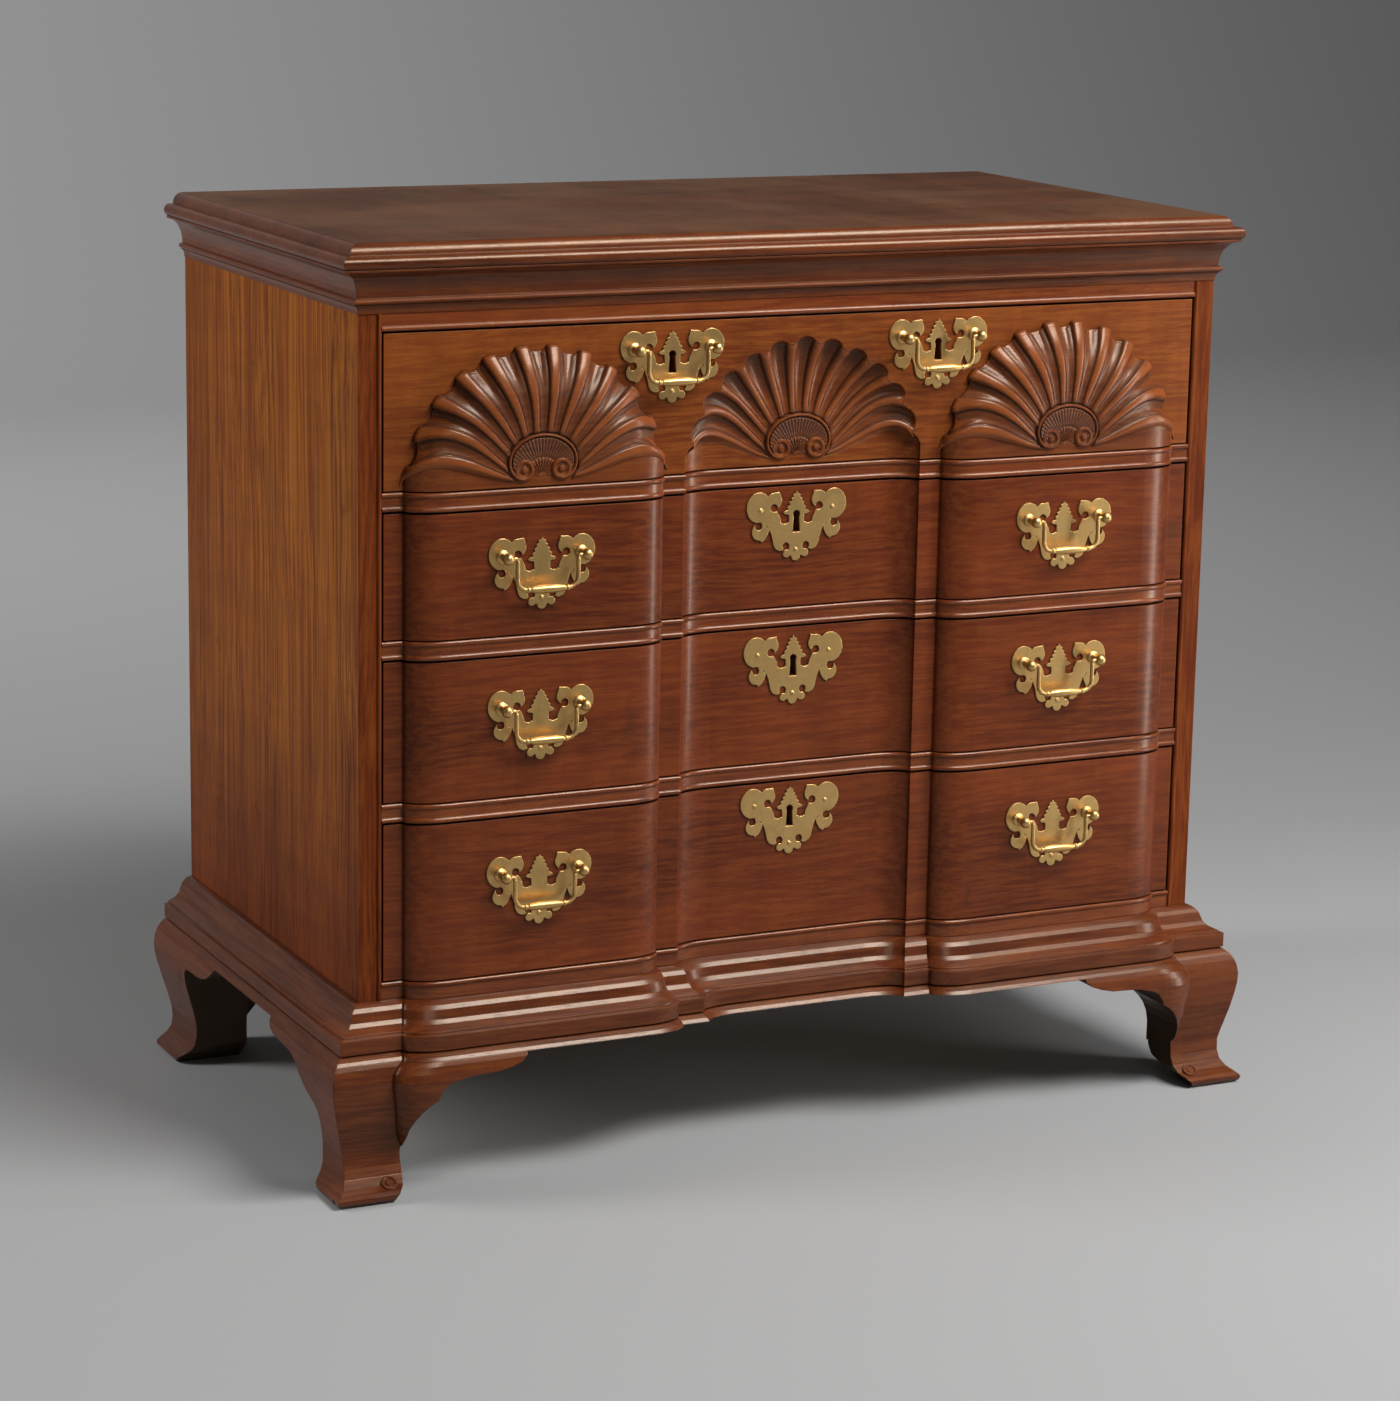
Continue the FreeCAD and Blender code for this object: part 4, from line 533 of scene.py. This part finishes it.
paint(makeWood("poplarSides", "poplar", order=(1, 2, 0)), *["drawer_%d_box" % n for n in drawers])
paint(makeWood("pineBoards", "pine"), "case_bottom", "top_battens", "back_boards", "drawer_runners",
      *["drawer_%d_bottom" % n for n in drawers])
brass = makeMetal("antiqueBrass")
iron = makeMetal("lockIron")
for name in nodes:
    if name.endswith(("_plates", "_posts")) or name.startswith("bail_"):
        paint(brass, name)
    if name.endswith("_lock") or name.startswith("lock_bolt"):
        paint(iron, name)
print("finishes made")


# carved shells: a finely cut skin lies over each of the three, in mm from the middle of its scroll

def inMm(metres):
    return round(metres * 1000, 3)


def middleOf(box):
    return (box[0] + box[1]) / 2


shell = {
    "front": inMm(frontY),
    "height": 670.0,  # middle of the scrolls, from the floor
    "spread": inMm(middleOf(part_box("bail_2_right")).x),  # the raised shells stand above the pulls
    "face": inMm(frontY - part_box("drawer_2_front")[0].y),  # how far a block stands out
    "recess": 14.5,
    "round": 38.0,  # width of the rounded side of a block or of the recess
    "blockHalf": 128.7,
    "recessHalf": 124.2,
    "crests": [18.6, 20.2, 20.9, 19.2, 14.2, 5.2],  # height of a raised rib, from foot to tip
    "lift": 0.8,  # of the skin over the ribs under it
    "thick": 1.2,
    "groove": 0.75,
    "grooveAt": 0.238,  # from a rib's middle, where the next rib's middle is at 1
    "grooveWide": 0.024,
    "wing": 5.5,  # middle of the last rib, past which the skin rounds down to the wood
    "wingReach": 0.3,
    "raisedFoot": -16.2,  # depth of the skin's edge at the ribs' feet, and at a raised shell's tips
    "sunkFoot": 16.0,
    "raisedTip": 0.5,
}

# six ribs to a side, from the middle outwards: foot, way it leaves, tip and way it arrives
# (degrees from upright)

ribFoot = {"x": [6.6, 17.5, 27, 33, 35, 30], "z": [31, 28, 22, 13, -1, -10], "leave": [3, 15, 33, 44, 50, 76]}
raisedTip = {"x": [15.6, 48.2, 75.6, 99.3, 117.5, 129.5], "z": [108, 100.5, 85, 63, 33.5, -3],
             "arrive": [8, 24, 40, 68, 108, 142]}
sunkTip = {"x": [15, 44.8, 71.6, 94.6, 112.5, 122.5], "z": [104.8, 96.6, 82.6, 63.5, 38.5, 5],
           "arrive": [8, 24, 40, 68, 108, 150]}


def smoothValue(table, k, mirrored=0):
    # a smooth curve through the table; mirrored 1 or -1 carries it on past its first value
    last = len(table) - 1

    def at(i):
        if i < 0:
            return mirrored * table[-i - 1] if mirrored else 2 * table[0] - table[-i]
        return table[i] if i <= last else 2 * table[last] - table[2 * last - i]

    i = math.floor(k) if mirrored else min(math.floor(k), last - 1)
    f = k - i
    a, b, c, d = at(i - 1), at(i), at(i + 1), at(i + 2)
    return b + 0.5 * f * (c - a + f * (2 * a - 5 * b + 4 * c - d + f * (3 * (b - c) + d - a)))


def ribPlace(tip, rib, v, short):
    # across and up from the scroll, v = 0 at a rib's foot and 1 at its tip
    side, k = (-1 if rib < 0 else 1), abs(rib) - 0.5
    leave = math.radians(smoothValue(ribFoot["leave"], k, -1))
    arrive = math.radians(smoothValue(tip["arrive"], k, -1))
    foot = Vector((smoothValue(ribFoot["x"], k, -1), smoothValue(ribFoot["z"], k, 1)))
    end = Vector((smoothValue(tip["x"], k, -1), smoothValue(tip["z"], k, 1))) * (1 - short)
    span = (end - foot).length
    a = foot + 0.36 * span * Vector((math.sin(leave), math.cos(leave)))
    b = end - 0.38 * span * Vector((math.sin(arrive), math.cos(arrive)))
    w = 1 - v
    place = w ** 3 * foot + 3 * w * w * v * a + 3 * w * v * v * b + v ** 3 * end
    return side * place.x, place.y


def ramped(x, low, high):
    t = min(max((x - low) / (high - low), 0), 1)
    return t * t * (3 - 2 * t)


def ribCrest(off):
    # a half-round rib, then a hollow flute
    if off < 0.225:
        return 0.44 + 0.56 * math.sqrt(1 - (off / 0.226) ** 2)
    return 0.42 * ((0.5 - off) / 0.28) ** 2


def rimCut(off):
    # how far the rim falls short of the rib tips
    return 0.004 * (off / 0.2) ** 2 + 0.034 * ramped(off, 0.17, 0.25) + 0.018 * ramped(off, 0.25, 0.5)


def roundedBy(x, half, deep):
    # how far the block or the recess stands from the front plane, x from its middle
    over = (abs(x) - half + shell["round"]) / shell["round"]
    return deep * math.sqrt(max(1 - max(over, 0) ** 2, 0))


def grooveLine(rib, off, v):
    # the cut along both sides of a rib, which starts at its foot
    if abs(rib) >= shell["wing"]:
        return 0
    return math.exp(-((off - shell["grooveAt"]) / shell["grooveWide"]) ** 2) * min(v / 0.06, 1)


# a painted highlight, with rubbed wear, along the crest of each rib
def rubbedCrestHighlight(off, v):
    return 0.5 * ramped(off, 0.2, 0.06) * min(v / 0.1, 1)


def raisedSkin(rib, v):
    side = min(abs(rib), shell["wing"])
    off = abs(side % 1 - 0.5)
    hollow = 1 - ribCrest(off)
    x, z = ribPlace(raisedTip, rib, v, rimCut(off) - 0.004 * max(v - 0.97, 0) / 0.03)
    lump = roundedBy(x, shell["blockHalf"], shell["face"])
    top = smoothValue(shell["crests"], 5 * v) * (0.35 + 0.65 * lump / shell["face"])
    top += max(side - shell["wing"] + 1, 0) * max(lump + 1.8 - top, 0)
    height = top - hollow * (1.7 + 3.6 * v - 1.3 * v * v)
    if abs(rib) > shell["wing"]:
        low = max(lump - 1, 0.3)
        share = (abs(rib) - shell["wing"]) / shell["wingReach"]
        height = low + (top - low) * math.cos(math.pi / 2 * share)
    line = grooveLine(rib, off, v)
    height += shell["lift"] - shell["groove"] * line
    height -= 1.2 * max(v - 0.985, 0) / 0.015
    # painted shade in the grooves, at the ribs' feet and in the flutes toward the rim, less a painted
    # highlight with rubbed wear on the crests
    crease = 0.95 * line + 0.55 * (1 - min(v / 0.05, 1)) + 0.30 * hollow * max(v - 0.75, 0) / 0.25
    crease += 0.25 * hollow * ramped(off, 0.2, 0.3) - rubbedCrestHighlight(off, v)
    return (x, -max(height, 0.3), z), min(crease, 1)


def sunkSkin(rib, v):
    off = abs(min(abs(rib), shell["wing"]) % 1 - 0.5)
    ridge = ribCrest(off)
    x, z = ribPlace(sunkTip, rib, v, 0.055 * ridge)
    top = 14.0 * (1 - v ** 2.4)
    depth = top + (1 - ridge) * (1.5 + 6.5 * v) * math.sqrt(max(1 - v ** 9, 0)) - 0.8 * v ** 12
    lift = shell["lift"]
    if abs(rib) > shell["wing"]:
        low = max(roundedBy(x, shell["recessHalf"], shell["recess"]), top) + 0.3
        share = (abs(rib) - shell["wing"]) / shell["wingReach"]
        depth = top + (low - top) * math.sin(math.pi / 2 * share)
        lift -= 1.6 * share
    line = grooveLine(rib, off, v)
    lift -= 1.5 * max(v - 0.93, 0) / 0.07
    # painted shade in the grooves, at the ribs' feet and in the flutes toward the rim, less a painted
    # highlight with rubbed wear on the crests
    crease = 0.9 * line + 0.6 * (1 - min(v / 0.05, 1)) + 0.55 * (1 - ridge) * max(v - 0.7, 0) / 0.3
    crease -= rubbedCrestHighlight(off, v)
    return (x, depth - lift + shell["groove"] * line, z), min(crease, 1)


def carvedPiece(name, columns, rows, shape):
    # a grid on drawer 1 whose points are put in place by shape(column, row), then given a thickness
    bpy.ops.object.select_all(action="DESELECT")
    bpy.ops.mesh.primitive_grid_add(x_subdivisions=len(columns) - 1, y_subdivisions=len(rows) - 1, size=1)
    piece = bpy.context.object
    piece.name = piece.data.name = name
    # each point also carries painted shade above 0 and a painted highlight below 0, which the carving's
    # finish reads
    crease = piece.data.attributes.new("crease", "FLOAT", "POINT")
    for i, vertex in enumerate(piece.data.vertices):
        column = columns[round((vertex.co.x + 0.5) * (len(columns) - 1))]
        row = rows[round((vertex.co.y + 0.5) * (len(rows) - 1))]
        place, crease.data[i].value = shape(column, row)
        vertex.co = [value / 1000 for value in place]
    thick = piece.modifiers.new("thick", "SOLIDIFY")
    thick.thickness, thick.offset = shell["thick"] / 1000, -1
    bpy.ops.object.modifier_apply(modifier="thick")
    bpy.ops.object.shade_smooth()
    piece.data.materials.append(carved)
    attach(piece, "drawer_1")


def addShell(name, skin, across, foot):
    # a row before the ribs' feet goes into the wood, and so does one past a raised shell's tips
    offsets = [0, 0.05, 0.1, 0.15, 0.19, 0.215, 0.235, 0.255, 0.29, 0.36, 0.43]
    ribs = [n + 0.5 + offset for n in range(-6, 6) for offset in offsets]
    ribs += [n + 0.5 - offset for n in range(-6, 6) for offset in offsets]
    ribs += [float(n) for n in range(-5, 6)]
    ribs += [side * rib for side in (-1, 1) for rib in (5.56, 5.62, 5.68, 5.73, 5.77)]
    ribs = sorted(set(round(rib, 4) for rib in ribs if abs(rib) < 5.775))
    rows = [-1] + [0.03 * i for i in range(33)] + [0.975, 0.985, 0.993, 1.0]
    rows += [2] if skin is raisedSkin else []

    def shape(rib, v):
        (x, y, z), crease = skin(rib, min(max(v, 0), 1))
        if v < 0:
            y = foot
        if v > 1:
            y = shell["raisedTip"]
        return (x + across, y + shell["front"], z + shell["height"]), crease

    carvedPiece(name, ribs, rows, shape)


# small fan in each scroll: an oval of fine flutes with a row of beads and a leafy border

smallFan = {
    "flutes": 13,
    "spread": 156,  # degrees, over all flutes
    "halfWide": 30.4,
    "halfTall": 22.0,
    "pivot": 14,  # where the flutes meet, below the oval's middle
    "drop": 9,  # the same, below the scroll's middle
    "beadRow": 16.4,
    "groove": 18.2,
    "rings": 47,  # steps of its grid from the pivot to the oval
}


def addSmallFan(name, across, floor):
    halfWide, halfTall, pivot = smallFan["halfWide"], smallFan["halfTall"], smallFan["pivot"]

    def ring(r, at, wide):
        return math.exp(-((r - at) / wide) ** 2)

    def shape(turn, share):
        angle = math.radians(turn)
        sine, cosine = math.sin(angle), math.cos(angle)
        a = (sine / halfWide) ** 2 + (cosine / halfTall) ** 2
        b, c = -pivot * cosine / halfTall ** 2, (pivot / halfTall) ** 2 - 1
        r = (-b + math.sqrt(b * b - a * c)) / a * share
        wave = math.cos(angle * 360 * smallFan["flutes"] / smallFan["spread"])
        inner = ramped(r, 3, 6) * ramped(r, 15.6, 14.2)
        outer = ramped(r, 18.6, 21)
        height = 0.4 + 1.8 * share ** 2 + 0.5 * wave * inner + 0.6 * abs(wave) ** 0.5 * outer
        height += (0.9 * ring(r, smallFan["beadRow"], 0.9) * max(wave, 0)
                   - 0.5 * ring(r, smallFan["groove"], 0.8))
        # painted shade in the flute valleys, the groove, the leafy border and a thin ring inside the beads
        crease = 0.8 * max(-wave, 0) * inner + 0.6 * ring(r, smallFan["groove"], 0.9)
        crease += (0.25 + 0.5 * (1 - abs(wave))) * outer + 0.4 * ring(r, 15, 0.5)
        if share > 0.99 or share < 0.01 or abs(turn) > smallFan["spread"] / 2 - 0.1:
            height = -0.6
        place = (across + r * sine, shell["front"] + floor - height,
                 shell["height"] - smallFan["drop"] + r * cosine)
        return place, min(crease, 1)

    turns = [i - smallFan["spread"] / 2 for i in range(smallFan["spread"] + 1)]
    shares = [0.0] + [0.05 + 0.94 * i / (smallFan["rings"] - 1) for i in range(smallFan["rings"])] + [1.0]
    carvedPiece(name, turns, shares, shape)


addShell("shellLeft", raisedSkin, -shell["spread"], shell["raisedFoot"])
addShell("shellMiddle", sunkSkin, 0, shell["sunkFoot"])
addShell("shellRight", raisedSkin, shell["spread"], shell["raisedFoot"])
addSmallFan("scrollFanLeft", -shell["spread"], -shell["face"])
addSmallFan("scrollFanMiddle", 0, shell["recess"])
addSmallFan("scrollFanRight", shell["spread"], -shell["face"])
print("shells carved")
